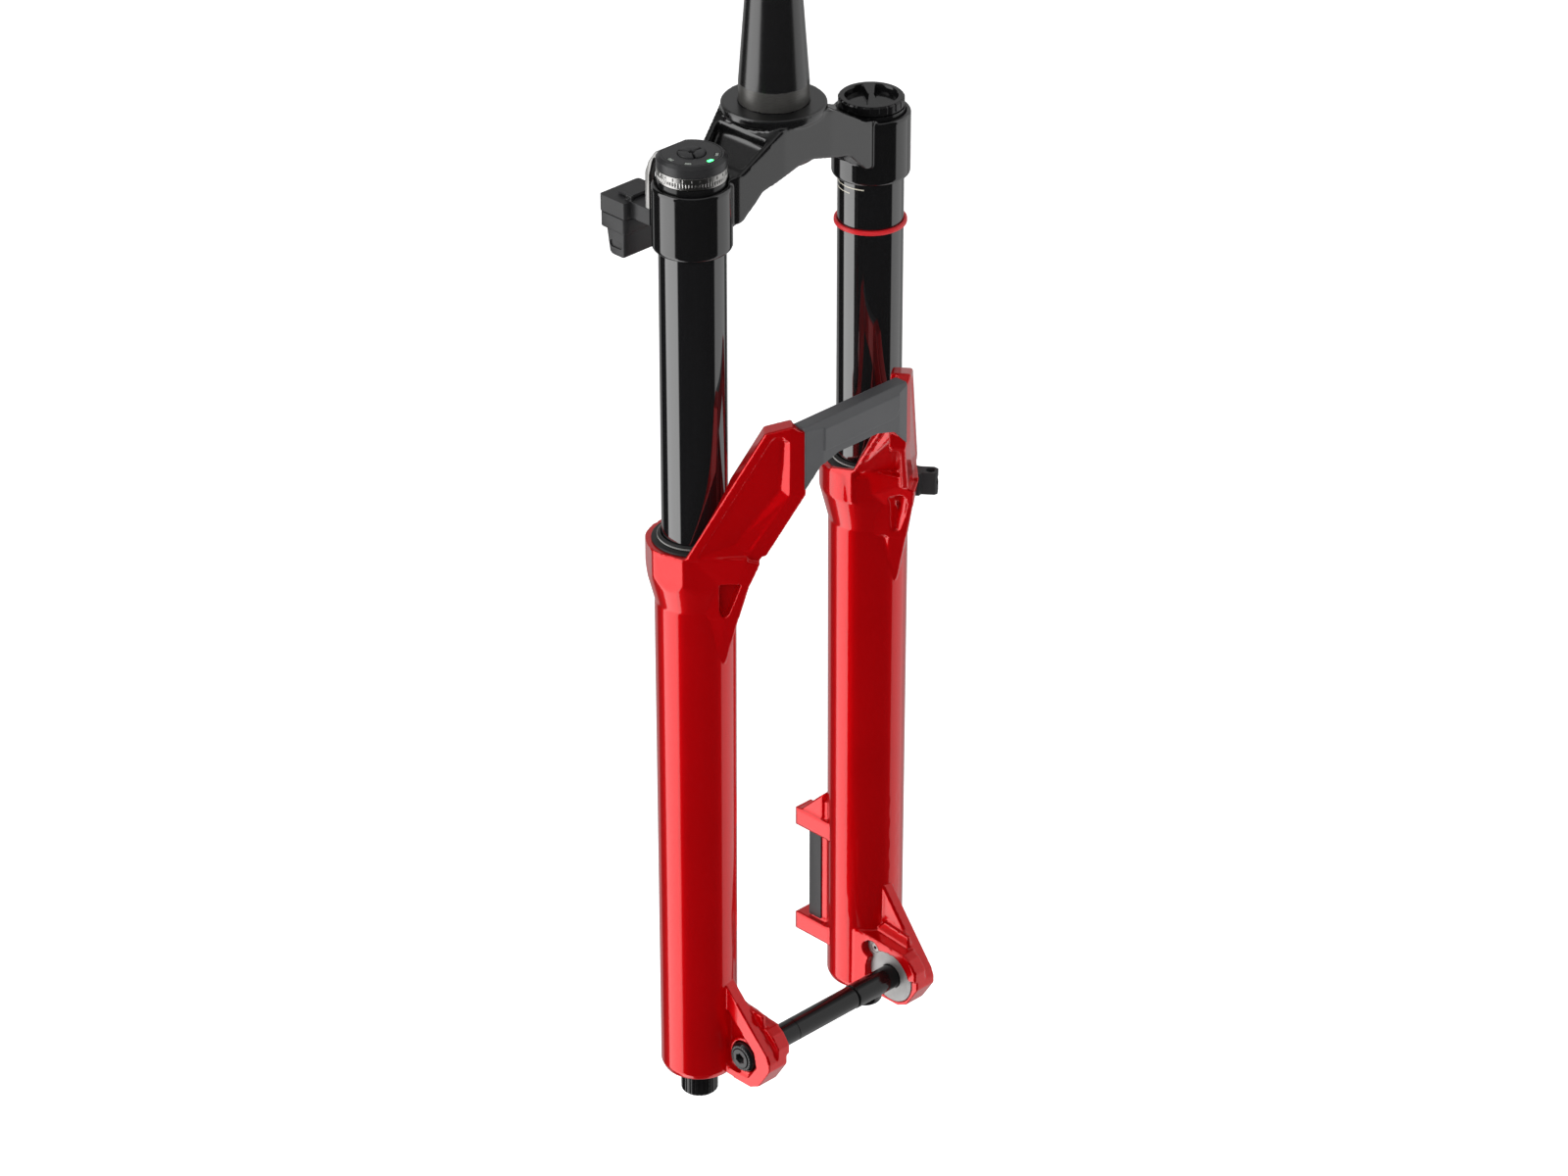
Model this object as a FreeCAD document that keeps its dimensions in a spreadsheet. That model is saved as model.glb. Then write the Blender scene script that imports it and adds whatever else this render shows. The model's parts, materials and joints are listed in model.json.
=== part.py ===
"""Single-crown suspension fork, 170 mm travel: uppers, lowers, damper, air spring and axle, in millimetres.

The frame has +Z up along the steerer, +X forward and +Y to the rider's left. The origin is the centre of the
crown race seat, where the lower headset bearing rests on the crown.
"""

import FreeCAD, Part
import Sketcher
import os
import re
from FreeCAD import Rotation, Vector

doc = FreeCAD.newDocument("suspension_fork")

# ---------------------------------------------------------------- driving sizes

DRIVING = """
leg_spacing 140
leg_offset 7
axle_offset 44
axle_to_crown 581
hub_width 110
axle_size 15
travel 170
travel_spare 11.6
fit_gap 0.05
slide_gap 0.08
clear_gap 0.3

steerer_top 220
steerer_size 28.6
steerer_base 39.8
steerer_bore 22
base_bore 33
seat_height 12
press_step 0.4
taper_end 87

flange_size 59.5
flange_edge 5
hub_size 53
hub_depth 32
crown_front 27
crown_rear 24
arm_front 24
arm_rear 11
pocket_wall 4
pocket_depth 9
socket_size 45
socket_low 64
socket_high 25
socket_lip 1.4

stanchion_size 38
stanchion_wall 1.8
stanchion_length 389
cap_seat 3
cap_size 39
cap_skirt 20

leg_top_size 46.8
leg_foot_size 45.4
collar_size 57.4
collar_height 17
collar_taper 21
foot_below_axle 21
foot_wall 8
seal_size 48
seal_pocket 10
foam_size 44.4
foam_height 6
bushing_wall 1.2
bushing_length 20
bushing_drop 140

arch_front 67.5
arch_half 41.3
arch_depth 11
arch_rise 79.6
arch_height 24
arm_angle 50.3
arm_depth 12
arm_top_run 23.1
arm_foot_run 67.4
arm_foot_inner 22.6
cover_skin 2.2
web_drop 48

boss_size 44
dropout_inner 7.5
dropout_outer 7.5
hub_recess 2.5
right_rib_rise 45
left_rib_rise 55
washer_size 19
insert_size 34
washer_seat 1.2
insert_plate 3

post_spacing 74
post_top_drop 83
post_side 56
post_rear 32
post_width 14
post_height 12
post_bolt 6

damper_room 7
damper_wall 1.5
motor_wall 3
shaft_size 10
shaft_bore 6
rod_size 3.6
head_height 14
piston_height 12
base_valve_drop 178
foot_bolt_size 8
foot_head_size 16
foot_head_height 4.5
washer_height 1.5
knob_size 22
knob_height 16.5

module_size 39.6
dial_lift 3.5
dial_height 7
module_height 7
module_flat 15.5
pad_size 15.4
button_lift 0.8
button_travel 0.5
battery_width 30
battery_depth 21
battery_rear 53
battery_offset 14
cradle_top 47
cradle_height 10
battery_shoulder 9
battery_height 24
sag_band 3
guide_run 46
sag_drop 28
"""

DERIVED = """
right_leg -leg_spacing / 2
left_leg leg_spacing / 2
stanchion_top -socket_high - cap_seat
stanchion_foot stanchion_top - stanchion_length
stanchion_bore stanchion_size - 2 * stanchion_wall
damper_size stanchion_size - damper_room
damper_bore damper_size - 2 * damper_wall
motor_size damper_bore - 2 * motor_wall
collar_top -socket_low - travel - travel_spare
collar_foot collar_top - collar_height
arch_top collar_top + arch_rise
arch_under arch_top - arch_height
taper_foot collar_foot - collar_taper
axle_level -axle_to_crown
leg_foot axle_level - foot_below_axle
leg_floor leg_foot + foot_wall
seal_seat collar_top - seal_pocket
foam_seat seal_seat - foam_height
bushing_size stanchion_size + 2 * slide_gap + 2 * bushing_wall
bushing_high foam_seat - 2
bushing_low collar_top - bushing_drop
head_top stanchion_foot + head_height
hub_face hub_width / 2
leg_inner leg_spacing / 2 - leg_foot_size / 2
battery_side leg_spacing / 2 + battery_offset
dropout_mid hub_face + dropout_inner
dropout_face dropout_mid + dropout_outer
post_upper axle_level + post_top_drop
post_lower post_upper - post_spacing
dial_low -socket_high + dial_lift
dial_top dial_low + dial_height
module_top dial_top + module_height
cradle_front battery_depth - battery_rear
battery_top -cradle_top - cradle_height - clear_gap
guide_level collar_top - 6
foot_low leg_foot - washer_height - foot_head_height
"""


def rows(text):
    """Each line's name and the rest of the line."""
    return [line.split(" ", 1) for line in text.strip().splitlines() if line]


NAMES = [name for name, _ in rows(DRIVING) + rows(DERIVED)]
WORD = re.compile(r"\b(" + "|".join(NAMES) + r")\b")
DRIVEN = {name for name, _ in rows(DRIVING)}


def bound(text):
    """The expression with each size's name pointing at its cell."""
    return WORD.sub(lambda match: ("Sizes." if match[1] in DRIVEN else "Levels.") + match[1], str(text))


def own_levels(formula):
    """A formula of the levels sheet: it names sizes of the first sheet and levels of its own."""
    return "=" + WORD.sub(lambda match: ("Sizes." if match[1] in DRIVEN else "") + match[1], formula)


def filled(title, table, as_cell):
    """A sheet with one named cell for each line of the table."""
    sheet = doc.addObject("Spreadsheet::Sheet", title)
    for row, (name, value) in enumerate(rows(table), start=1):
        sheet.set(f"A{row}", name)
        sheet.set(f"B{row}", as_cell(value))
        sheet.setAlias(f"B{row}", name)
    doc.recompute()
    return sheet


sizes = filled("Sizes", DRIVING, str)
levels = filled("Levels", DERIVED, own_levels)


def number(text):
    """The expression's value in millimetres or degrees."""
    result = sizes.evalExpression(bound(text))
    return float(getattr(result, "Value", result))


# ---------------------------------------------------------------- ways of making a piece

RIGHT = ("leg_offset", "right_leg", "0")
LEFT = ("leg_offset", "left_leg", "0")
CENTRE = ("0", "0", "0")
nodes = []


def node(piece, name=None):
    """Marks a piece as one that is written out under its Label."""
    piece.Label = name or piece.Name
    nodes.append(piece)
    return piece


def put(piece, at, spin="0"):
    """Binds where a piece stands and how far it is turned about Z."""
    for axis, text in zip("xyz", at):
        piece.setExpression(f"Placement.Base.{axis}", bound(text))
    if spin != "0":
        piece.setExpression("Placement.Rotation.Angle", bound(spin))
    return piece


def outline_in(body, plane, outline):
    """A closed sketch of straight sides, each corner placed from the body's origin by two expressions."""
    sketch = body.newObject("Sketcher::SketchObject", body.Name + "_sketch")
    support = next(item for item in body.Origin.OriginFeatures if item.Role == plane)
    sketch.AttachmentSupport = [(support, "")]
    sketch.MapMode = "FlatFace"
    corners = [Vector(number(across), number(up), 0) for across, up in outline]
    for start, end in zip(corners, corners[1:] + corners[:1]):
        sketch.addGeometry(Part.LineSegment(start, end))
    for side in range(len(corners)):
        sketch.addConstraint(sketcher_join(side, (side + 1) % len(corners)))
    for side, (corner, pair) in enumerate(zip(corners, outline)):
        for kind, length, text in zip(("DistanceX", "DistanceY"), corner, pair):
            index = sketch.addConstraint(Sketcher.Constraint(kind, -1, 1, side, 1, length))
            sketch.setExpression(f"Constraints[{index}]", bound(text))
    return sketch


def sketcher_join(side, following):
    return Sketcher.Constraint("Coincident", side, 2, following, 1)


def turned(name, at, outline, along="z", sweep="360", spin="0"):
    """A body of revolution about its own X, Y or Z axis; outline pairs are (station, radius)."""
    body = put(doc.addObject("PartDesign::Body", name), at, spin)
    plane = "YZ_Plane" if along == "y" else "XZ_Plane"
    pairs = [(radius, station) for station, radius in outline] if along == "z" else outline
    sketch = outline_in(body, plane, pairs)
    feature = body.newObject("PartDesign::Revolution", name + "_turn")
    feature.Profile = sketch
    feature.ReferenceAxis = (sketch, ["V_Axis" if along == "z" else "H_Axis"])
    feature.setExpression("Angle", bound(sweep))
    return body


def tube(name, at, low, high, inner, outer, along="z"):
    """A straight ring or tube between two stations and two radii."""
    return turned(name, at, [(low, inner), (low, outer), (high, outer), (high, inner)], along)


def plate(name, at, outline, depth, plane="XZ_Plane", spin="0", reverse=True):
    """A flat outline padded by a depth: towards +Y on XZ_Plane, and towards +Z or +X when not reversed."""
    body = put(doc.addObject("PartDesign::Body", name), at, spin)
    sketch = outline_in(body, plane, outline)
    feature = body.newObject("PartDesign::Pad", name + "_pad")
    feature.Profile = sketch
    feature.setExpression("Length", bound(depth))
    feature.Reversed = reverse
    return body


def box(name, low, size, spin="0"):
    piece = put(doc.addObject("Part::Box", name), low, spin)
    for side, text in zip(("Length", "Width", "Height"), size):
        piece.setExpression(side, bound(text))
    return piece


AIMS = {"z": Rotation(), "x": Rotation(Vector(0, 1, 0), 90), "y": Rotation(Vector(1, 0, 0), -90)}


def rod(name, at, radius, length, along="z"):
    piece = doc.addObject("Part::Cylinder", name)
    piece.Placement = FreeCAD.Placement(Vector(), AIMS[along])
    put(piece, at)
    piece.setExpression("Radius", bound(radius))
    piece.setExpression("Height", bound(length))
    return piece


def fused(name, *pieces):
    piece = doc.addObject("Part::MultiFuse", name)
    piece.Shapes = list(pieces)
    return piece


def common(name, first, second):
    piece = doc.addObject("Part::Common", name)
    piece.Base, piece.Tool = first, second
    return piece


def cut(name, base, *tools):
    piece = doc.addObject("Part::Cut", name)
    piece.Base = base
    piece.Tool = tools[0] if len(tools) == 1 else fused(name + "_tools", *tools)
    return piece


def mirrored(name, source):
    """The same piece on the other side of the fork's middle plane."""
    piece = doc.addObject("Part::Mirroring", name)
    piece.Source = source
    piece.Normal = Vector(0, 1, 0)
    piece.Base = Vector(0, 0, 0)
    return piece


def pair(name, source):
    """A group of two equal solids, one in each leg."""
    piece = doc.addObject("Part::Compound", name)
    piece.Links = [source, mirrored(name + "_mirror", source)]
    return piece


def softened(name, base, radius, chosen):
    """The base with its chosen edges rounded; chosen tells from an edge whether it is one."""
    doc.recompute()
    piece = doc.addObject("Part::Fillet", name)
    piece.Base = base
    size = number(radius)
    piece.Edges = [(index, size, size) for index, edge in enumerate(base.Shape.Edges, start=1) if chosen(edge)]
    return piece


# ---------------------------------------------------------------- crown and steerer

def steerer_tube():
    """Tapered tube, 1.5 inch at the race seat and 1 1/8 inch above, pressed into the crown."""
    outline = [
        ("-hub_depth", "base_bore / 2"),
        ("-hub_depth", "steerer_base / 2 - press_step"),
        ("0", "steerer_base / 2 - press_step"),
        ("0", "steerer_base / 2"),
        ("seat_height", "steerer_base / 2"),
        ("taper_end", "steerer_size / 2"),
        ("steerer_top - 1", "steerer_size / 2"),
        ("steerer_top", "steerer_size / 2 - 1"),
        ("steerer_top", "steerer_bore / 2"),
        ("taper_end", "steerer_bore / 2"),
        ("seat_height", "base_bore / 2"),
    ]
    return node(turned("steerer_tube", CENTRE, outline))


def crown_arm():
    """The right-hand beam from hub to socket: where its front outline and its plan outline meet."""
    reach = "leg_spacing / 2"
    front = plate("arm_front_view", ("0", "-leg_spacing", "0"), [
        ("leg_spacing", "-flange_edge + 1"),
        ("leg_spacing - 20", "-flange_edge + 0.5"),
        (f"{reach} + 22", "-socket_high + 4"),
        (f"{reach}", "-socket_high - 1"),
        (f"{reach}", "-socket_low + 10"),
        (f"{reach} + 22", "-socket_low + 14"),
        (f"{reach} + 36", "-hub_depth - 5"),
        ("leg_spacing", "-hub_depth + 4"),
    ], "crown_front + crown_rear + 20", "YZ_Plane", reverse=False)
    front.setExpression("Placement.Base.x", bound("-crown_rear - 10"))
    plan = plate("arm_plan_view", ("0", "0", "-socket_low - 5"), [
        ("-crown_rear", "0"),
        ("crown_front", "0"),
        ("crown_front", "-18"),
        ("leg_offset + arm_front - 6", f"-{reach} + 18"),
        ("leg_offset + 12", f"-{reach}"),
        ("leg_offset - 10", f"-{reach}"),
        ("leg_offset - arm_rear - 6", f"-{reach} + 18"),
        ("-crown_rear", "-18"),
    ], "socket_low + 5", "XY_Plane", reverse=False)
    return common("crown_arm", front, plan)


def crown_pocket():
    """The weight-saving pocket in the top of the right-hand beam, inside its raised border."""
    reach = "leg_spacing / 2"
    front = plate("pocket_front_view", ("-crown_rear - 10", "-leg_spacing", "0"), [
        ("leg_spacing - hub_size / 2 - 1", "5"),
        ("leg_spacing - hub_size / 2 - 1", "-flange_edge - pocket_depth - 1"),
        (f"{reach} + socket_size / 2 + 1.5", "-socket_high - pocket_depth + 3"),
        (f"{reach} + socket_size / 2 + 1.5", "5"),
    ], "crown_front + crown_rear + 20", "YZ_Plane", reverse=False)
    plan = plate("pocket_plan_view", ("0", "0", "-socket_low"), [
        ("-crown_rear + pocket_wall", "-18"),
        ("crown_front - pocket_wall", "-18"),
        ("leg_offset + arm_front - 6 - pocket_wall", f"-{reach} + 18"),
        ("leg_offset - arm_rear - 6 + pocket_wall", f"-{reach} + 18"),
    ], "socket_low + 10", "XY_Plane", reverse=False)
    return common("crown_pocket", front, plan)


def crown():
    """Forged crown: hub with the race-seat flange, two beams and the two stanchion sockets."""
    hub = turned("crown_hub", CENTRE, [
        ("-hub_depth", "0"),
        ("-hub_depth", "hub_size / 2 - 3"),
        ("-hub_depth + 3", "hub_size / 2"),
        ("-flange_edge - 3", "hub_size / 2"),
        ("-flange_edge", "flange_size / 2"),
        ("-0.5", "flange_size / 2"),
        ("0", "flange_size / 2 - 0.5"),
        ("0", "0"),
    ])
    socket = turned("crown_socket", RIGHT, [
        ("-socket_low", "0"),
        ("-socket_low", "socket_size / 2 - socket_lip"),
        ("-socket_low + socket_lip", "socket_size / 2"),
        ("-socket_high - 1", "socket_size / 2"),
        ("-socket_high", "socket_size / 2 - 1"),
        ("-socket_high", "0"),
    ])
    arm = crown_arm()
    half = cut("crown_half", fused("crown_half_blank", socket, arm), crown_pocket())
    blank = fused("crown_blank", hub, half, mirrored("crown_half_left", half))
    bore = rod("steerer_bore_tool", ("0", "0", "-hub_depth - 1"), "steerer_base / 2 - press_step + fit_gap / 2",
               "hub_depth + 2")
    stanchion = turned("socket_bore", RIGHT, [
        ("-socket_low - 1", "0"),
        ("-socket_low - 1", "stanchion_size / 2 + fit_gap / 2"),
        ("stanchion_top", "stanchion_size / 2 + fit_gap / 2"),
        ("stanchion_top", "cap_size / 2 + fit_gap"),
        ("1", "cap_size / 2 + fit_gap"),
        ("1", "0"),
    ])
    return node(cut("crown", blank, bore, stanchion, mirrored("socket_bore_left", stanchion)))


# ---------------------------------------------------------------- uppers

def stanchions():
    for side, at in (("right", RIGHT), ("left", LEFT)):
        node(tube(side + "_stanchion", at, "stanchion_foot", "stanchion_top", "stanchion_bore / 2",
                  "stanchion_size / 2"))


def damper_top_cap():
    """Threaded cap of the right stanchion; it holds the motor and the damper tube."""
    skirt = "stanchion_bore / 2 - fit_gap"
    return node(turned("damper_top_cap", RIGHT, [
        ("dial_low - 0.2", "13"),
        ("dial_low - 0.2", "cap_size / 2"),
        ("stanchion_top", "cap_size / 2"),
        ("stanchion_top", skirt),
        ("stanchion_top - cap_skirt", skirt),
        ("stanchion_top - cap_skirt", "damper_bore / 2 - fit_gap"),
        ("stanchion_top - cap_skirt - 8", "damper_bore / 2 - fit_gap"),
        ("stanchion_top - cap_skirt - 8", "4 + fit_gap"),
        ("stanchion_top - cap_skirt - 2", "4 + fit_gap"),
        ("stanchion_top - cap_skirt - 2", "motor_size / 2 + fit_gap"),
        ("stanchion_top - 1", "motor_size / 2 + fit_gap"),
        ("stanchion_top - 1", "13"),
    ]))


def compression_motor():
    """Small servo that turns the damper's valve spool."""
    return node(turned("compression_motor", RIGHT, [
        ("stanchion_top - cap_skirt - 2", "2.2 + clear_gap"),
        ("stanchion_top - cap_skirt - 2", "motor_size / 2"),
        ("stanchion_top - 1", "motor_size / 2"),
        ("stanchion_top - 1", "0"),
        ("stanchion_top - cap_skirt + 6", "0"),
        ("stanchion_top - cap_skirt + 6", "2.2 + clear_gap"),
    ]))


def damper_cartridge():
    """The right leg's fixed damper pieces: tube, seal head, valve stem and base valve."""
    tube_top = "stanchion_top - cap_skirt"
    node(tube("damper_tube", RIGHT, "head_top", tube_top, "damper_bore / 2", "damper_size / 2"))
    node(seal_head("damper_seal_head", RIGHT))
    node(tube("compression_stem", RIGHT, "-base_valve_drop", "stanchion_top - cap_skirt - 2", "2.5", "4"))
    node(turned("base_valve", RIGHT, [
        ("-base_valve_drop", "2.5"),
        ("-base_valve_drop", "6"),
        ("-base_valve_drop - 2", "6"),
        ("-base_valve_drop - 2", "damper_bore / 2 - 0.1"),
        ("-base_valve_drop - 11", "damper_bore / 2 - 0.1"),
        ("-base_valve_drop - 11", "6"),
        ("-base_valve_drop - 14", "6"),
        ("-base_valve_drop - 14", "2.5"),
    ]))


def seal_head(name, at):
    """Plug in a stanchion's foot that guides and seals a shaft."""
    outer = "stanchion_bore / 2 - fit_gap"
    inner = "shaft_size / 2 + slide_gap"
    return turned(name, at, [
        ("stanchion_foot + 3", inner),
        ("stanchion_foot + 3", outer),
        ("head_top", outer),
        ("head_top", "damper_bore / 2 - fit_gap"),
        ("head_top + 5", "damper_bore / 2 - fit_gap"),
        ("head_top + 5", inner),
    ])


def moving_valves():
    """The spool that the motor turns, and the floating piston that makes room for the shaft."""
    node(turned("valve_spool", RIGHT, [
        ("-base_valve_drop - 16", "0"),
        ("-base_valve_drop - 16", "4"),
        ("-base_valve_drop - 14 - clear_gap", "4"),
        ("-base_valve_drop - 14 - clear_gap", "2.2"),
        ("stanchion_top - cap_skirt + 5", "2.2"),
        ("stanchion_top - cap_skirt + 5", "0"),
    ]))
    node(tube("floating_piston", RIGHT, "-base_valve_drop + 54", "-base_valve_drop + 66",
              "4 + slide_gap", "damper_bore / 2 - slide_gap"))


def air_chamber():
    """The left leg's fixed pieces: top cap, valve, volume tokens and seal head."""
    skirt = "stanchion_bore / 2 - fit_gap"
    node(turned("air_top_cap", LEFT, [
        ("dial_low - 1", "9"),
        ("dial_low - 1", "cap_size / 2"),
        ("stanchion_top", "cap_size / 2"),
        ("stanchion_top", skirt),
        ("stanchion_top - cap_skirt", skirt),
        ("stanchion_top - cap_skirt", "4 + fit_gap"),
        ("stanchion_top - 4", "4 + fit_gap"),
        ("stanchion_top - 4", "9"),
    ]))
    node(turned("air_valve", LEFT, [
        ("stanchion_top - cap_skirt", "0"),
        ("stanchion_top - cap_skirt", "4"),
        ("stanchion_top - 4", "4"),
        ("stanchion_top - 4", "5.5"),
        ("stanchion_top - 2.5", "5.5"),
        ("stanchion_top - 2.5", "3.9"),
        ("dial_low - 2", "3.9"),
        ("dial_low - 2", "2.6"),
        ("dial_low - 4", "2.6"),
        ("dial_low - 4", "0"),
    ]))
    token_top = "stanchion_top - cap_skirt"
    tokens = []
    for count in range(2):
        top = f"{token_top} - {count} * 12"
        tokens.append(turned(f"token_{count}", LEFT, [
            (f"{top} - 12", "8"), (f"{top} - 12", "14"), (f"{top} - 3", "14"), (f"{top} - 2", "13"),
            (top, "13"), (top, "8"),
        ]))
    group = doc.addObject("Part::Compound", "volume_tokens")
    group.Links = tokens
    node(group)
    node(seal_head("air_seal_head", LEFT))


def retaining_rings():
    ring = tube("retaining_ring", RIGHT, "stanchion_foot + 1", "stanchion_foot + 3", "stanchion_bore / 2 - 3",
                "stanchion_bore / 2 - fit_gap")
    return node(pair("retaining_rings", ring))


def air_cap():
    """Screw cap over the air valve: two scoops leave a bar across it to turn it by."""
    low = "dial_low - 1 + clear_gap"
    disc = turned("air_cap_blank", LEFT, [
        (low, "0"), (low, "cap_size / 2 - 0.6"), (f"{low} + 4.5", "cap_size / 2 - 0.6"),
        (f"{low} + 5.5", "cap_size / 2 - 1.6"), (f"{low} + 5.5", "0"),
    ])
    scoops = []
    for count, turn in enumerate(("35", "215")):
        scoops.append(turned(f"air_cap_scoop_{count}", ("leg_offset", "left_leg", f"{low} + 2"), [
            ("0", "3"), ("0", "cap_size / 2 - 4"), ("5", "cap_size / 2 - 4"), ("5", "3"),
        ], sweep="110", spin=turn))
    return node(cut("air_cap", disc, *scoops))


# ---------------------------------------------------------------- control module and battery

WINDOWS = (-98, -52, 2, 38)


def module_housing():
    """Round electronics housing on the right leg, flat at the rear, with a round button pad."""
    low, top = "dial_top + 0.2", "module_top"
    rim = "module_size / 2"
    body = turned("module_body", RIGHT, [
        ("dial_low - 0.2", "0"),
        ("dial_low - 0.2", "13"),
        (low, "13"),
        (low, rim),
        (f"{top} - 1.8", rim),
        (f"{top}", f"{rim} - 1.8"),
        (f"{top}", "pad_size / 2 + clear_gap"),
        (f"{top} - 3", "pad_size / 2 + clear_gap"),
        (f"{top} - 3", "0"),
    ])
    flat = box("module_rear_cut", ("leg_offset - module_size", "right_leg - module_size / 2", low),
               ("module_size - module_flat", "module_size", "module_height + 1"))
    return node(cut("module_housing", body, flat, *[window(turn, "fit_gap") for turn in WINDOWS]))


def window(turn, grow):
    """One indicator window, a small block set in the housing's top at an angle about the leg."""
    name = f"window_{turn + 360}_{'hole' if grow != '0' else 'lens'}"
    block = turned(name, ("leg_offset", "right_leg", "module_top"), [
        (f"-1 - {grow}", f"13 - {grow}"), (f"-1 - {grow}", f"15 + {grow}"),
        (f"0.1 + {grow}", f"15 + {grow}"), (f"0.1 + {grow}", f"13 - {grow}"),
    ], sweep=f"15 + 8 * {grow}", spin=f"{turn} - 7.5 - 4 * {grow}")
    return block


def module_lights():
    group = doc.addObject("Part::Compound", "module_lights")
    group.Links = [window(turn, "0") for turn in WINDOWS]
    return node(group)


def buttons():
    """Three equal buttons that share the round pad."""
    for name, turn in (("menu_button", -90), ("plus_button", 30), ("minus_button", 150)):
        node(turned(name, ("leg_offset", "right_leg", "module_top"), [
            ("-3 + button_travel + 0.2", "1.6"),
            ("-3 + button_travel + 0.2", "pad_size / 2"),
            ("button_lift - 0.4", "pad_size / 2"),
            ("button_lift", "pad_size / 2 - 0.6"),
            ("button_lift", "1.6"),
        ], sweep="108", spin=f"{turn} - 54"))


def compression_dial():
    """Bright knurled ring between the top cap and the module housing."""
    rim = "module_size / 2"
    return node(turned("compression_dial", RIGHT, [
        ("dial_low", "13 + slide_gap"),
        ("dial_low", f"{rim} - 0.5"),
        ("dial_low + 0.5", rim),
        ("dial_top - 0.5", rim),
        ("dial_top", f"{rim} - 0.5"),
        ("dial_top", "13 + slide_gap"),
    ]))


def module_bracket():
    """Bright arm from the module's flat rear, over the crown and down to the battery cradle."""
    rear = "leg_offset - module_flat"
    arm = plate("bracket_blank", ("0", "right_leg - 9", "0"), [
        (rear, "module_top - 1.5"),
        (f"{rear} - 4", "module_top - 2.5"),
        (f"{rear} - 9.5", "dial_top - 3"),
        (f"{rear} - 12.5", "dial_low - 2"),
        (f"{rear} - 12.5", "-cradle_top"),
        (f"{rear} - 9", "-cradle_top"),
        (f"{rear} - 9", "dial_low - 3"),
        ("leg_offset - module_size / 2 - 2.4", "dial_top - 3"),
        ("leg_offset - module_size / 2 - 1", "dial_top + 0.4"),
        (rear, "dial_top + 0.4"),
    ], "18")
    window_low = box("bracket_window", (f"{rear} - 20", "right_leg - 4.5", "-cradle_top - 1"),
                     ("20 - 3.5", "9", "cradle_top + dial_low + 8"))
    return node(cut("module_bracket", arm, window_low))


def battery_cradle():
    """Receiver that the battery clips under, with its foot under the bracket and the latch ears."""
    side = "-battery_side"
    block = softened("cradle_block", box("cradle_blank", ("-battery_rear", side, "-cradle_top - cradle_height"),
                     ("battery_depth", "battery_width", "cradle_height")), "2", upright_edge)
    foot = box("cradle_foot", ("cradle_front - 2", "right_leg - 9", "-cradle_top - cradle_height"),
               ("leg_offset - module_flat - 9 - cradle_front + 2", "18", "cradle_height"))
    ears = [box(f"cradle_ear_{count}", ("cradle_front - 5", f"right_leg {shift}", "-cradle_top - 1"),
                ("5", "2", "4")) for count, shift in enumerate(("- 9", "+ 7"))]
    pin_hole = rod("latch_pin_hole", ("cradle_front - 2.5", "right_leg - 12", "-cradle_top + 1.2"),
                   "0.8 + slide_gap", "24", "y")
    return node(cut("battery_cradle", fused("cradle_all", block, foot, *ears), pin_hole))


def upright_edge(edge):
    """True for an edge that runs along Z."""
    start, end = edge.Vertexes[0].Point, edge.Vertexes[-1].Point
    return abs(start.z - end.z) > 0.9 * edge.Length


def battery_latch():
    """Small lever on a pin between the cradle's ears; it lies back over the cradle."""
    lever = box("latch_lever", ("cradle_front - 13", "right_leg - 7 + clear_gap", "-cradle_top + clear_gap"),
                ("11.1", "14 - 2 * clear_gap", "2"))
    pin = rod("latch_pin", ("cradle_front - 2.5", "right_leg - 9", "-cradle_top + 1.2"), "0.8", "18", "y")
    return node(fused("battery_latch", lever, pin))


def battery():
    """Rechargeable pack: a wide shoulder under the cradle and a narrower tapered body."""
    side = "-battery_side"
    shoulder = softened("battery_top_block", box("battery_shoulder_block",
                        ("-battery_rear", side, "battery_top - battery_shoulder"),
                        ("battery_depth", "battery_width", "battery_shoulder")), "2", upright_edge)
    lower = plate("battery_lower_block", ("0", side, "0"), [
        ("-battery_rear + 5", "battery_top - battery_shoulder + 1"),
        ("-battery_rear + 7.5", "battery_top - battery_height + 1.5"),
        ("-battery_rear + 9.5", "battery_top - battery_height"),
        ("cradle_front - 3", "battery_top - battery_height"),
        ("cradle_front - 1", "battery_top - battery_height + 1.5"),
        ("cradle_front - 1", "battery_top - battery_shoulder + 1"),
    ], "battery_width")
    return node(fused("battery", shoulder, lower))


# ---------------------------------------------------------------- lowers

def lower_leg():
    """Outside of the right lower leg: collar, taper, long slightly drafted tube and rounded foot."""
    return turned("lower_leg", RIGHT, [
        ("leg_foot", "0"),
        ("leg_foot", "leg_foot_size / 2 - 5"),
        ("leg_foot + 1.5", "leg_foot_size / 2 - 1.5"),
        ("leg_foot + 5", "leg_foot_size / 2"),
        ("taper_foot", "leg_top_size / 2"),
        ("collar_foot", "collar_size / 2"),
        ("collar_top", "collar_size / 2"),
        ("collar_top", "0"),
    ])


ARM_AT = ("arch_front", "-arch_half", "0")


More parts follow.
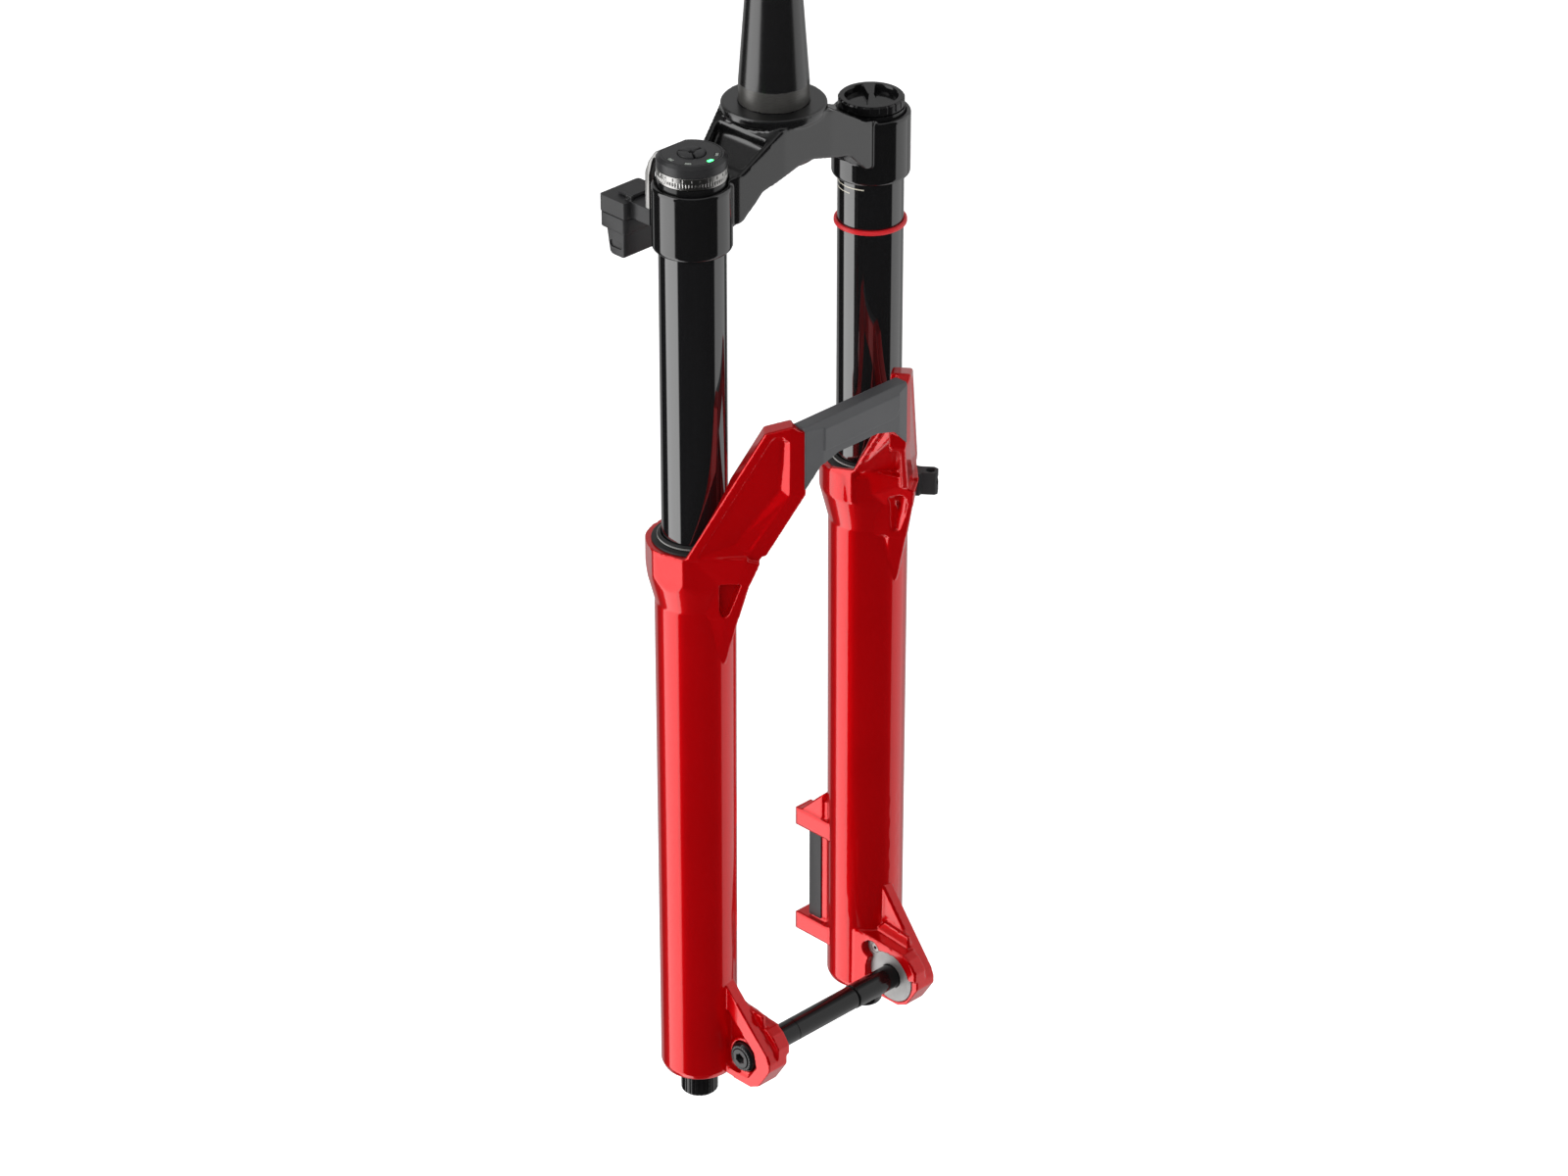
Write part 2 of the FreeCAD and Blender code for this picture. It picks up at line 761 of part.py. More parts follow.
def arch_arm():
    """Right arm of the arch: a slab tangent to the collar, running forward, inward and up."""
    outline = [
        ("-arm_foot_run", "collar_top + 1.5"),
        ("-arm_top_run", "arch_top - 2"),
        ("-arm_top_run / 3", "arch_top + 1.6"),
        ("0", "arch_top - 4.6"),
        ("0", "arch_top - 42"),
        ("-arm_foot_inner", "collar_top - 0.6"),
        ("-arm_foot_inner - 5", "collar_top - 16"),
        ("-arm_foot_run + 20", "collar_top - web_drop - 10"),
        ("-arm_foot_run + 12", "collar_top - web_drop"),
        ("-arm_foot_run - 2", "collar_foot"),
    ]
    slab = plate("arm_slab", ARM_AT, outline, "arm_depth", spin="arm_angle")
    return softened("arch_arm", slab, "1.2", lambda edge: edge.Length > 9)


def arm_panel():
    """The sunken panel in the arm's outer face."""
    outline = [
        ("-arm_foot_run + 9", "collar_top + 2.5"),
        ("-arm_top_run + 5", "arch_top - 4"),
        ("-arm_top_run + 11", "arch_top - 4"),
        ("-arm_top_run + 13", "arch_top - 40"),
        ("-arm_foot_inner - 10", "collar_top + 2.5"),
    ]
    return plate("arm_panel", ARM_AT, outline, "1.4", spin="arm_angle")


def web_pocket():
    """The slot between the leg and the rib that carries the arm."""
    outline = [
        ("-arm_foot_inner - 19", "collar_top - 18"),
        ("-arm_foot_inner - 9", "collar_top - 18"),
        ("-arm_foot_inner - 16", "collar_top - web_drop + 6"),
        ("-arm_foot_inner - 21", "collar_top - web_drop + 6"),
    ]
    return plate("web_pocket", ARM_AT, outline, "arm_depth - 3", spin="arm_angle")


def under_arm_scoop():
    """The face under the arm, set back towards the leg between its two ribs."""
    outline = [
        ("-arm_foot_run + 5", "collar_top - 2"),
        ("-arm_foot_inner - 2", "collar_top - 2"),
        ("-arm_foot_inner - 12", "collar_top - web_drop - 12"),
        ("-arm_foot_run + 13", "collar_top - web_drop - 12"),
    ]
    return plate("under_arm_scoop", ARM_AT, outline, "3.5", spin="arm_angle")


def cover_seat():
    """What the right arm leaves free for the cover, above and in front of the bridge."""
    return plate("cover_seat", ("0", "-arch_half + 0.2", "0"), [
        ("arch_front - arch_depth - 2", "arch_top + 5"),
        ("arch_front + 3", "arch_top + 5"),
        ("arch_front + 3", "arch_under - 30"),
        ("arch_front - cover_skin", "arch_under - 30"),
        ("arch_front - cover_skin", "arch_top - 2"),
        ("arch_front - arch_depth - 2", "arch_top - 2"),
    ], "arch_half")


def arch_bridge():
    """The bar between the arms, recessed in front for the arch cover."""
    return plate("arch_bridge", ("arch_front - arch_depth", "0", "0"), [
        ("-arch_half - 2", "arch_top - 2"),
        ("arch_half + 2", "arch_top - 2"),
        ("arch_half + 2", "arch_under - 14"),
        ("arch_half - 12", "arch_under - 4"),
        ("arch_half - 26", "arch_under"),
        ("-arch_half + 26", "arch_under"),
        ("-arch_half + 12", "arch_under - 4"),
        ("-arch_half - 2", "arch_under - 14"),
    ], "arch_depth - cover_skin", "YZ_Plane", reverse=False)


def dropout_plate(side):
    """Right inner plate: its face leaves the leg as a tangent and ends just inside the hub face."""
    front = plate(side + "_plate_side_view", ("0", "-dropout_mid", "0"), [
        ("leg_offset", "axle_level + 25"),
        ("axle_offset + 12", "axle_level + 21"),
        ("axle_offset + 17", "axle_level + 18"),
        ("axle_offset + boss_size / 2", "axle_level + 11.5"),
        ("axle_offset + boss_size / 2", "axle_level - 1"),
        ("axle_offset + 13", "axle_level - 15"),
        ("axle_offset + 6", "axle_level - 18.5"),
        ("axle_offset - 6", "axle_level - 18.5"),
        ("leg_offset + 12", "leg_foot + 5"),
        ("leg_offset", "leg_foot + 5"),
    ], "dropout_mid - leg_inner + 1")
    plan = plate(side + "_plate_plan_view", ("0", "0", "leg_foot"), [
        ("leg_offset", "-leg_inner"),
        ("axle_offset - insert_size / 2 - 1", "-hub_face + hub_recess + 1.5"),
        ("axle_offset + boss_size / 2 + 1", "-hub_face + hub_recess - 0.5"),
        ("axle_offset + boss_size / 2 + 1", "-dropout_mid"),
        ("leg_offset", "-dropout_mid"),
    ], "foot_below_axle + 40", "XY_Plane", reverse=False)
    return common(side + "_dropout_plate", front, plan)


def dropout(side, rise):
    """One side's dropout, drawn for the right leg: inner plate, step, outer rib with its hollow, axle boss."""
    step = plate(side + "_dropout_step", ("0", "-dropout_mid - 0.5", "0"), [
        ("leg_offset + 10", "axle_level + 21"),
        ("leg_offset + 20", "axle_level + 24"),
        ("leg_offset + 27", "axle_level + 31"),
        ("axle_offset + 9", "axle_level + 29"),
        ("axle_offset + 11", "axle_level + 10"),
        ("leg_offset + 10", "axle_level + 10"),
    ], "3")
    rib = plate(side + "_dropout_rib", ("0", "-dropout_face", "0"), [
        ("leg_offset + 12", f"axle_level + {rise} - 8"),
        ("leg_offset + leg_foot_size / 2 - 1", f"axle_level + {rise}"),
        ("axle_offset + boss_size / 2 - 2", "axle_level + 9"),
        ("axle_offset + boss_size / 2", "axle_level + 4"),
        ("axle_offset + boss_size / 2", "axle_level - 1"),
        ("axle_offset + 13", "axle_level - 15"),
        ("axle_offset + 6", "axle_level - 18.5"),
        ("axle_offset - 6", "axle_level - 18.5"),
        ("leg_offset + 12", "leg_foot + 5"),
    ], "dropout_outer")
    hollow = plate(side + "_dropout_hollow", ("0", "-dropout_face - 1", "0"), [
        ("leg_offset + 19", f"axle_level + {rise} - 17"),
        ("leg_offset + 23", f"axle_level + {rise} - 17"),
        ("axle_offset + 9", "axle_level + 7"),
        ("axle_offset + 11", "axle_level - 3"),
        ("axle_offset + 4", "axle_level - 13"),
        ("axle_offset - 10", "axle_level - 13"),
        ("leg_offset + 19", "axle_level - 10"),
    ], "dropout_outer - 2")
    boss = rod(side + "_dropout_boss", ("axle_offset", "-dropout_face + 1", "axle_level"),
               "washer_size / 2 + 2.5", "dropout_outer - 1", "y")
    return fused(side + "_dropout", dropout_plate(side), step, cut(side + "_rib_cut", rib, hollow), boss)


def hub_pocket():
    """Cutter for the right hub face's pocket, open below and in front so that the wheel drops out."""
    depth = "hub_face - leg_inner + 2"
    disc = rod("hub_pocket_disc", ("axle_offset", "-hub_face", "axle_level"), "insert_size / 2 + fit_gap",
               depth, "y")
    below = box("hub_pocket_below", ("axle_offset - insert_size / 2 - fit_gap", "-hub_face", "leg_foot - 1"),
                ("insert_size + 2 * fit_gap", depth, "foot_below_axle + 1"))
    ahead = box("hub_pocket_ahead", ("axle_offset", "-hub_face", "leg_foot - 1"),
                ("boss_size", depth, "foot_below_axle + 6"))
    return fused("hub_pocket", disc, below, ahead)


def brake_post(level):
    """One post of the brake mount on the left leg, its face to the rear."""
    at = ("-post_rear", "post_side - post_width / 2", f"{level} - post_height / 2")
    return box("post_" + level, at, ("post_rear + leg_offset - 6", "post_width", "post_height"))


def collar_facet(turn):
    """Cutter for one flat on the right collar, facing an angle about the leg."""
    away = "(collar_size / 2 - 1.6)"
    at = (f"leg_offset + {away} * cos({turn}) + 20 * sin({turn})",
          f"right_leg + {away} * sin({turn}) - 20 * cos({turn})", "collar_foot - 4")
    return box(f"collar_facet_{turn + 360}", at, ("12", "40", "collar_height + 5"), spin=f"{turn}")


def on_left_arm(run, out, level):
    """A place on the left arm: along it from the bridge, outwards from its face, and a height."""
    return (f"arch_front - ({run}) * cos(arm_angle) + ({out}) * sin(arm_angle)",
            f"arch_half + ({run}) * sin(arm_angle) + ({out}) * cos(arm_angle)", level)


def lowers_casting():
    """One magnesium casting: two legs, the arch, the dropouts and the brake posts."""
    trim = rod("arm_behind", ("leg_offset", "right_leg", "collar_top"), "seal_size / 2 + 1.5", "100")
    arm = cut("arch_arm_cut", arch_arm(), arm_panel(), web_pocket(), under_arm_scoop(), cover_seat(), trim)
    leg = cut("lower_leg_faceted", lower_leg(), *[collar_facet(turn) for turn in (-71, -9)])
    half = fused("lowers_half", leg, arm)
    bridge = arch_bridge()
    web = box("post_web", ("-post_rear + 10", "post_side - 3", "post_lower"),
              ("post_rear + leg_offset - 20", "8", "post_spacing"))
    gusset = plate("post_gusset", ("0", "post_side - 4", "0"), [
        ("-post_rear + 10", "post_upper + post_height / 2 - 1"),
        ("leg_offset - 12", "post_upper + post_height / 2 + 16"),
        ("leg_offset - 12", "post_upper"),
        ("-post_rear + 10", "post_upper"),
    ], "8")
    button_boss = rod("relief_boss", ("leg_offset - leg_top_size / 2 - 4", "right_leg", "taper_foot - 8"), "5.5",
                      "10", "x")
    guide_boss = turned("guide_boss", on_left_arm("guide_run", "0", "guide_level"), [
        ("-8", "0"), ("-8", "4.5"), ("0", "4.5"), ("0", "0")], along="y", spin="-arm_angle")
    left_dropout = mirrored("left_dropout_placed", dropout("left", "left_rib_rise"))
    blank = fused("lowers_blank", half, mirrored("lowers_half_left", half), dropout("right", "right_rib_rise"),
                  left_dropout, bridge, brake_post("post_upper"), brake_post("post_lower"), web, gusset,
                  button_boss, mirrored("relief_boss_left", button_boss), guide_boss)
    bore = turned("leg_bore", RIGHT, [
        ("leg_foot - 1", "0"),
        ("leg_foot - 1", "foot_bolt_size / 2 + clear_gap"),
        ("leg_floor", "foot_bolt_size / 2 + clear_gap"),
        ("leg_floor", "bushing_size / 2 - 1"),
        ("leg_floor + 2", "bushing_size / 2 + fit_gap"),
        ("foam_seat", "bushing_size / 2 + fit_gap"),
        ("foam_seat", "foam_size / 2 + fit_gap"),
        ("seal_seat", "foam_size / 2 + fit_gap"),
        ("seal_seat", "seal_size / 2 + fit_gap"),
        ("collar_top + 1", "seal_size / 2 + fit_gap"),
        ("collar_top + 1", "0"),
    ])
    axle_bore = rod("axle_bore", ("axle_offset", "-dropout_face - 1", "axle_level"), "axle_size / 2 + 0.1",
                    "dropout_face - hub_face + 3", "y")
    washer_bore = rod("washer_bore", ("axle_offset", "-dropout_face - 1", "axle_level"),
                      "washer_size / 2 + clear_gap", "dropout_outer + 1 - washer_seat", "y")
    insert_bore = rod("insert_bore", ("axle_offset", "hub_face - 2", "axle_level"), "10 + fit_gap",
                      "dropout_face - hub_face + 4", "y")
    insert_seat = rod("insert_seat", ("axle_offset", "hub_face - 1", "axle_level"), "insert_size / 2 + fit_gap",
                      "insert_plate + 1", "y")
    lobe_seat = rod("lobe_seat", lobe_at("leg_inner - 1"), "6 + fit_gap",
                    "hub_face - leg_inner + 1 + insert_plate", "y")
    screw_hole = rod("insert_screw_hole", lobe_at("hub_face"), "1.5 + fit_gap", "9", "y")
    posts = [rod(f"{level}_hole", ("-post_rear - 1", "post_side", level), "post_bolt / 2 - 0.5", "17", "x")
             for level in ("post_upper", "post_lower")]
    relief = rod("relief_hole", ("leg_offset - leg_top_size / 2 - 5", "right_leg", "taper_foot - 8"),
                 "3 + slide_gap", "6", "x")
    guide_hole = turned("guide_bolt_hole", on_left_arm("guide_run", "0", "guide_level"), [
        ("-8", "0"), ("-8", "1.6"), ("1", "1.6"), ("1", "0")], along="y", spin="-arm_angle")
    pocket = hub_pocket()
    tools = [bore, mirrored("leg_bore_left", bore), axle_bore, washer_bore, insert_bore, insert_seat, lobe_seat,
             screw_hole, *posts, relief, mirrored("relief_hole_left", relief), guide_hole, pocket,
             mirrored("hub_pocket_left", pocket)]
    return node(cut("lowers_casting", blank, *tools))


def lobe_at(side):
    """Centre of the insert's screw lobe, behind and above the axle."""
    return ("axle_offset - 13.5", side, "axle_level + 14")


def arch_cover():
    """Dark cap over the bridge's front and top, between the red arms."""
    front = plate("cover_blank", ("arch_front - arch_depth", "0", "0"), [
        ("-arch_half + 0.3", "arch_top"),
        ("arch_half - 0.3", "arch_top"),
        ("arch_half - 0.3", "arch_under - 15"),
        ("arch_half - 12", "arch_under - 3"),
        ("arch_half - 26", "arch_under + 1"),
        ("-arch_half + 26", "arch_under + 1"),
        ("-arch_half + 12", "arch_under - 3"),
        ("-arch_half + 0.3", "arch_under - 15"),
    ], "arch_depth + 0.6", "YZ_Plane", reverse=False)
    slope = plate("cover_slope", ("0", "-arch_half - 5", "0"), [
        ("arch_front - 3.5", "arch_top + 1"),
        ("arch_front + 1", "arch_top - 5"),
        ("arch_front + 3", "arch_top + 1"),
    ], "2 * arch_half + 10")
    inside = box("cover_inside", ("arch_front - arch_depth - 1", "-arch_half - 1", "arch_under - 40"),
                 ("arch_depth - cover_skin + 1 + fit_gap", "2 * arch_half + 2",
                  "arch_top - arch_under + 38 + fit_gap"))
    return node(cut("arch_cover", front, slope, inside))


def seals_and_bushings():
    """In each collar: wiper seal with its garter spring and foam ring, and the two bushings below."""
    outer = "seal_size / 2"
    lip = "stanchion_size / 2 + clear_gap"
    wiper = turned("wiper_seal", RIGHT, [
        ("seal_seat", "stanchion_size / 2 + 1.5"),
        ("seal_seat", outer),
        ("collar_top", outer),
        ("collar_top", f"{outer} + 0.9"),
        ("collar_top + 1.2", f"{outer} + 0.6"),
        ("collar_top + 1.8", "stanchion_size / 2 + 2.4"),
        ("collar_top + 3.6", "stanchion_size / 2 + 1.6"),
        ("collar_top + 4.4", lip),
        ("collar_top + 3.6", lip),
        ("collar_top - 1", "stanchion_size / 2 + 1.5"),
    ])
    groove = turned("spring_groove", RIGHT, [
        ("collar_top + 1.9", "stanchion_size / 2 + 1.6"),
        ("collar_top + 1.9", "stanchion_size / 2 + 3.4"),
        ("collar_top + 3.3", "stanchion_size / 2 + 3.4"),
        ("collar_top + 3.3", "stanchion_size / 2 + 1.6"),
    ])
    node(pair("wiper_seals", cut("wiper_seal_grooved", wiper, groove)))
    spring = doc.addObject("Part::Torus", "seal_spring")
    put(spring, ("leg_offset", "right_leg", "collar_top + 2.6"))
    spring.setExpression("Radius1", bound("stanchion_size / 2 + 2.25"))
    spring.setExpression("Radius2", bound("0.6"))
    node(pair("seal_springs", spring))
    bore = "stanchion_size / 2 + slide_gap"
    node(pair("foam_rings", tube("foam_ring", RIGHT, "foam_seat", "seal_seat - 0.2",
                                 "stanchion_size / 2 + clear_gap", "foam_size / 2")))
    for name, top in (("upper_bushings", "bushing_high"), ("lower_bushings", "bushing_low")):
        ring = tube(name + "_ring", RIGHT, f"{top} - bushing_length", top, bore, "bushing_size / 2")
        node(pair(name, ring))


def brake_side_trim():
    """Black strip on the web between the brake posts."""
    return node(box("post_strip", ("-post_rear + 9", "post_side - 3.8", "post_lower + post_height / 2 + 1"),
                    ("10", "0.8", "post_spacing - post_height - 2")))


def dropout_insert():
    """Steel thread insert of the left dropout, with a lobe for its screw."""
    disc = rod("insert_disc", ("axle_offset", "hub_face", "axle_level"), "insert_size / 2", "insert_plate", "y")
    lobe = rod("insert_lobe", lobe_at("hub_face"), "6", "insert_plate", "y")
    sleeve = rod("insert_sleeve", ("axle_offset", "hub_face", "axle_level"), "10",
                 "dropout_face - hub_face - 1", "y")
    bore = rod("insert_thread", ("axle_offset", "hub_face - 1", "axle_level"), "axle_size / 2 + 0.05",
               "dropout_face - hub_face + 2", "y")
    hole = turned("insert_countersink", lobe_at("hub_face"), [
        ("-1", "0"), ("-1", "3"), ("1.4", "3"), ("2.6", "1.5 + fit_gap"), ("4", "1.5 + fit_gap"), ("4", "0")],
        along="y")
    node(cut("dropout_insert", fused("insert_all", disc, lobe, sleeve), bore, hole))
    screw = turned("insert_screw_blank", lobe_at("hub_face"), [
        ("0.3", "0"), ("0.3", "2.9"), ("1.35", "2.9"), ("2.55", "1.5"), ("8", "1.5"), ("8", "0")], along="y")
    socket = rod("insert_screw_socket", lobe_at("hub_face"), "1.1", "1.6", "y")
    node(cut("insert_screw", screw, socket))


def hose_guide():
    """Clip on the left arm that holds the brake hose, with its bolt."""
    spin = "-arm_angle"
    block = plate("guide_block", on_left_arm("guide_run + 6", "0", "guide_level - 8"), [
        ("0", "0"), ("12", "0"), ("12", "3"), ("10", "4"), ("10", "12"), ("8.5", "13.5"), ("3", "13.5"),
        ("1", "11"), ("1", "3"),
    ], "14", "XY_Plane", spin=spin, reverse=False)
    hose = turned("guide_hose_hole", on_left_arm("guide_run + 0.5", "9", "guide_level - 9"), [
        ("0", "0"), ("0", "2.6"), ("16", "2.6"), ("16", "0")], spin=spin)
    bolt_hole = turned("guide_screw_hole", on_left_arm("guide_run", "0", "guide_level"), [
        ("-1", "0"), ("-1", "1.6"), ("4", "1.6"), ("4", "3.1"), ("15", "3.1"), ("15", "0")], along="y", spin=spin)
    return block, hose, bolt_hole


def guide_and_bolt():
    block, hose, bolt_hole = hose_guide()
    node(cut("hose_guide", block, hose, bolt_hole))
    bolt = turned("guide_bolt_blank", on_left_arm("guide_run", "0", "guide_level"), [
        ("-7", "0"), ("-7", "1.5"), ("4", "1.5"), ("4", "2.8"), ("6.5", "2.8"), ("6.5", "0")],
        along="y", spin="-arm_angle")
    node(bolt, "hose_guide_bolt")


def air_spring():
    """Left leg: the shaft that stands on the lowers, its piston and the piston's seal."""
    bore = "stanchion_bore / 2 - slide_gap"
    low = "head_top + 14"
    node(shaft("air_shaft", LEFT, f"{low} + piston_height"))
    groove_low, groove_high = f"{low} + 4", f"{low} + 7.5"
    node(turned("air_piston", LEFT, [
        (low, "shaft_size / 2"), (low, bore), (groove_low, bore), (groove_low, f"{bore} - 2.6"),
        (groove_high, f"{bore} - 2.6"), (groove_high, bore), (f"{low} + piston_height", bore),
        (f"{low} + piston_height", "shaft_size / 2"),
    ]))
    node(tube("air_piston_seal", LEFT, f"{groove_low} + 0.2", f"{groove_high} - 0.2", f"{bore} - 2.5", bore))


def shaft(name, at, top):
    """Hollow shaft from the leg's floor to its piston."""
    return tube(name, at, "leg_floor", top, "shaft_bore / 2", "shaft_size / 2")


def rebound_damper():
    """Right leg: the damper shaft with the rebound piston and its glide band."""
    bore = "damper_bore / 2 - slide_gap"
    low = "head_top + 14"
    node(shaft("damper_shaft", RIGHT, f"{low} + piston_height"))
    band_low, band_high = f"{low} + 3", f"{low} + 9"
    node(turned("rebound_piston", RIGHT, [
        (low, "shaft_size / 2"), (low, f"{bore} - 0.6"), (band_low, f"{bore} - 0.6"), (band_low, f"{bore} - 1.6"),
        (band_high, f"{bore} - 1.6"), (band_high, f"{bore} - 0.6"), (f"{low} + piston_height", f"{bore} - 0.6"),
        (f"{low} + piston_height", "shaft_size / 2"),
    ]))
    node(tube("piston_band", RIGHT, f"{band_low} + 0.1", f"{band_high} - 0.1", f"{bore} - 1.5", bore))


def shaft_bumpers():
    """Rubber rings: under each piston for full extension, and on each floor for full travel."""
    topout = tube("topout_bumper", RIGHT, "head_top + 5.5", "head_top + 13.8", "shaft_size / 2 + fit_gap", "8")
    node(pair("topout_bumpers", topout))
    bottom = tube("bottomout_bumper", RIGHT, "leg_floor + 0.1", "leg_floor + 3", "shaft_size / 2 + fit_gap", "14")
    node(pair("bottomout_bumpers", bottom))


def foot_hardware():
    """Hollow bolts that hold each shaft down to its leg's floor, on crush washers."""
    bolt = turned("foot_bolt", RIGHT, [
        ("foot_low", "rod_size / 2 + clear_gap"),
        ("foot_low", "foot_head_size / 2 - 0.5"),
        ("foot_low + 0.5", "foot_head_size / 2"),
        ("leg_foot - washer_height", "foot_head_size / 2"),
        ("leg_foot - washer_height", "foot_bolt_size / 2"),
        ("leg_floor", "foot_bolt_size / 2"),
        ("leg_floor", "shaft_bore / 2 - fit_gap"),
        ("leg_floor + 16", "shaft_bore / 2 - fit_gap"),
        ("leg_floor + 16", "rod_size / 2 + clear_gap"),
    ])
    node(pair("foot_bolts", bolt))
    washer = tube("crush_washer", RIGHT, "leg_foot - washer_height", "leg_foot", "foot_bolt_size / 2 + clear_gap",
                  "foot_head_size / 2 + 1")
    node(pair("crush_washers", washer))


def left_foot_cap():
    """Smooth cap pressed over the left leg's foot bolt, as long as the knob under the other leg."""
    top = "leg_foot - washer_height - 0.5"
    rim = "knob_size / 2"
    bore = "foot_head_size / 2 + fit_gap"
    return node(turned("left_foot_cap", LEFT, [
        (f"{top} - knob_height", "0"),
        (f"{top} - knob_height", f"{rim} - 2"),
        (f"{top} - knob_height + 2", rim),
        (top, rim),
        (top, bore),
        ("foot_low", bore),
        ("foot_low", "0"),
    ]))


def rebound_adjuster():
    """Knob under the right leg and the rod that it turns inside the damper shaft."""
    top = "leg_foot - washer_height - 0.5"
    rim = "knob_size / 2"
    blank = turned("rebound_knob_blank", RIGHT, [
        (f"{top} - knob_height", "0"),
        (f"{top} - knob_height", f"{rim} - 2"),
        (f"{top} - knob_height + 1.5", f"{rim} - 0.5"),
        (top, rim),
        (top, "foot_head_size / 2 + clear_gap"),
        ("foot_low - clear_gap", "foot_head_size / 2 + clear_gap"),
        ("foot_low - clear_gap", "0"),
    ])
    flutes = []
    for count in range(12):
        turn = f"{count * 30}"
        at = (f"leg_offset + ({rim} + 1.1) * cos({turn})", f"right_leg + ({rim} + 1.1) * sin({turn})",
              f"{top} - knob_height - 1")
        flutes.append(rod(f"knob_flute_{count}", at, "1.8", "knob_height - 3"))
    node(cut("rebound_knob", blank, *flutes))
    node(rod("rebound_rod", ("leg_offset", "right_leg", "foot_low - clear_gap"), "rod_size / 2",
             "head_top + 20 - foot_low"))


def axle_and_washer():
    """Through axle, threaded into the left insert, with the conical washer under its head."""
    shank = "axle_size / 2 - 0.05"
    head = "-dropout_face - 2.5"
    blank = turned("axle_blank", ("axle_offset", "0", "axle_level"), [
        (head, "0"),
        (head, "6"),
        (f"{head} + 1", "6.4"),
        ("-dropout_mid - 1", "6.4"),
        ("-dropout_mid - 1", shank),
        ("-hub_face + 17", shank),
        ("-hub_face + 19", "axle_size / 2 - 1.1"),
        ("-hub_face + 60", "axle_size / 2 - 1.1"),
        ("-hub_face + 68", shank),
        ("-hub_face + 74", shank),
        ("-hub_face + 74", f"{shank} - 0.7"),
        ("-hub_face + 75.2", f"{shank} - 0.7"),
        ("-hub_face + 75.2", shank),
        ("dropout_face - 3", shank),
        ("dropout_face - 2", f"{shank} - 1"),
        ("dropout_face - 2", "0"),
    ], along="y")
    hexagon = doc.addObject("Part::Prism", "axle_hexagon")
    hexagon.Placement = FreeCAD.Placement(Vector(), AIMS["y"])
    put(hexagon, ("axle_offset", f"{head} - 1", "axle_level"))
    hexagon.Polygon = 6
    hexagon.setExpression("Circumradius", bound("3.46"))
    hexagon.setExpression("Height", bound("9"))
    node(cut("axle", blank, hexagon))
    node(turned("axle_washer", ("axle_offset", "0", "axle_level"), [
        ("-dropout_face - 2", "6.4 + slide_gap"),
        ("-dropout_face - 2", "washer_size / 2 - 1.8"),
        ("-dropout_face - 0.5", "washer_size / 2 - 0.3"),
        ("-dropout_mid - washer_seat", "washer_size / 2"),
        ("-dropout_mid - washer_seat", "6.4 + slide_gap"),
    ], along="y"))


def relief_buttons():
    """Push buttons at the rear of the legs that let out trapped air."""
    button = turned("right_relief_button", ("leg_offset - leg_top_size / 2 - 5", "right_leg", "taper_foot - 8"), [
        ("-0.6", "0"), ("-0.6", "2.4"), ("0", "3"), ("5", "3"), ("5", "0")], along="x")
    node(button)
    node(mirrored("left_relief_button", button))


def sag_ring():
    """Rubber ring on the left stanchion that the seal pushes along it."""
    ring = tube("sag_ring", LEFT, "-socket_low - sag_drop - sag_band", "-socket_low - sag_drop",
                "stanchion_size / 2 + slide_gap", "stanchion_size / 2 + 2")
    return node(ring)


steerer_tube()
crown()
stanchions()
damper_top_cap()
compression_motor()
damper_cartridge()
moving_valves()
air_chamber()
retaining_rings()
air_cap()
module_housing()
module_lights()
buttons()
compression_dial()
module_bracket()
battery_cradle()
battery_latch()
battery()
lowers_casting()
arch_cover()
seals_and_bushings()
brake_side_trim()
dropout_insert()
guide_and_bolt()
air_spring()
rebound_damper()
shaft_bumpers()
foot_hardware()
left_foot_cap()
rebound_adjuster()
axle_and_washer()
relief_buttons()
sag_ring()
doc.recompute()

for item in doc.Objects:
    if "Invalid" in item.State or "Error" in item.State:
        raise RuntimeError(f"{item.Name} failed: {item.State}")
for piece in nodes:
    if piece.Shape.isNull() or not piece.Shape.isValid():
        raise RuntimeError(f"{piece.Label} has no valid shape")

os.makedirs("parts", exist_ok=True)
for piece in nodes:
    piece.Shape.exportStep(f"parts/{piece.Label}.step")
print(len(nodes), "nodes")
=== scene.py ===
"""Looks of a single-crown suspension fork: gloss metallic red lowers, black forged crown and inner tubes.

Shapes are written in millimetres in the frame's own axes (+Z up the steerer, +X forward, +Y to the rider's
left) and put into metres when a mesh is made.
"""

import json
import math

import bmesh
import bpy
import numpy as np
from mathutils import Matrix, Vector


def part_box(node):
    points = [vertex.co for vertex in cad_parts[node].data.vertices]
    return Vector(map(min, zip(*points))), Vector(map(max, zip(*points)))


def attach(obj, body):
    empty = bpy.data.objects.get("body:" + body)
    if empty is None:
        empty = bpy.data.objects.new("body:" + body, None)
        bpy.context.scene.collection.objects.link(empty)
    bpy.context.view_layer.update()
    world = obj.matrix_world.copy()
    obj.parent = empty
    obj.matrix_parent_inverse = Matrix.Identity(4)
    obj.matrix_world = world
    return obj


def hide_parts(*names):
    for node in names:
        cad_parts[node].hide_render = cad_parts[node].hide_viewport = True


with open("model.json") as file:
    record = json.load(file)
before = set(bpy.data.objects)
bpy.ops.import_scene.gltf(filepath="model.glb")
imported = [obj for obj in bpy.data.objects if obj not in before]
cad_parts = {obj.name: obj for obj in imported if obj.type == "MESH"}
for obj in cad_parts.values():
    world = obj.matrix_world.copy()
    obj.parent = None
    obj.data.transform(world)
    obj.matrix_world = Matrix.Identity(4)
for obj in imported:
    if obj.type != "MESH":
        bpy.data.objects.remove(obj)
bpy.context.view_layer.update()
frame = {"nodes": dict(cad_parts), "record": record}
NODES = frame["nodes"]
BODY_OF = {node: body for body, group in frame["record"]["behaviour"]["bodies"].items() for node in group}
SLOT_OF = {part["node"]: part["material_slot"] for part in frame["record"]["subparts"]}
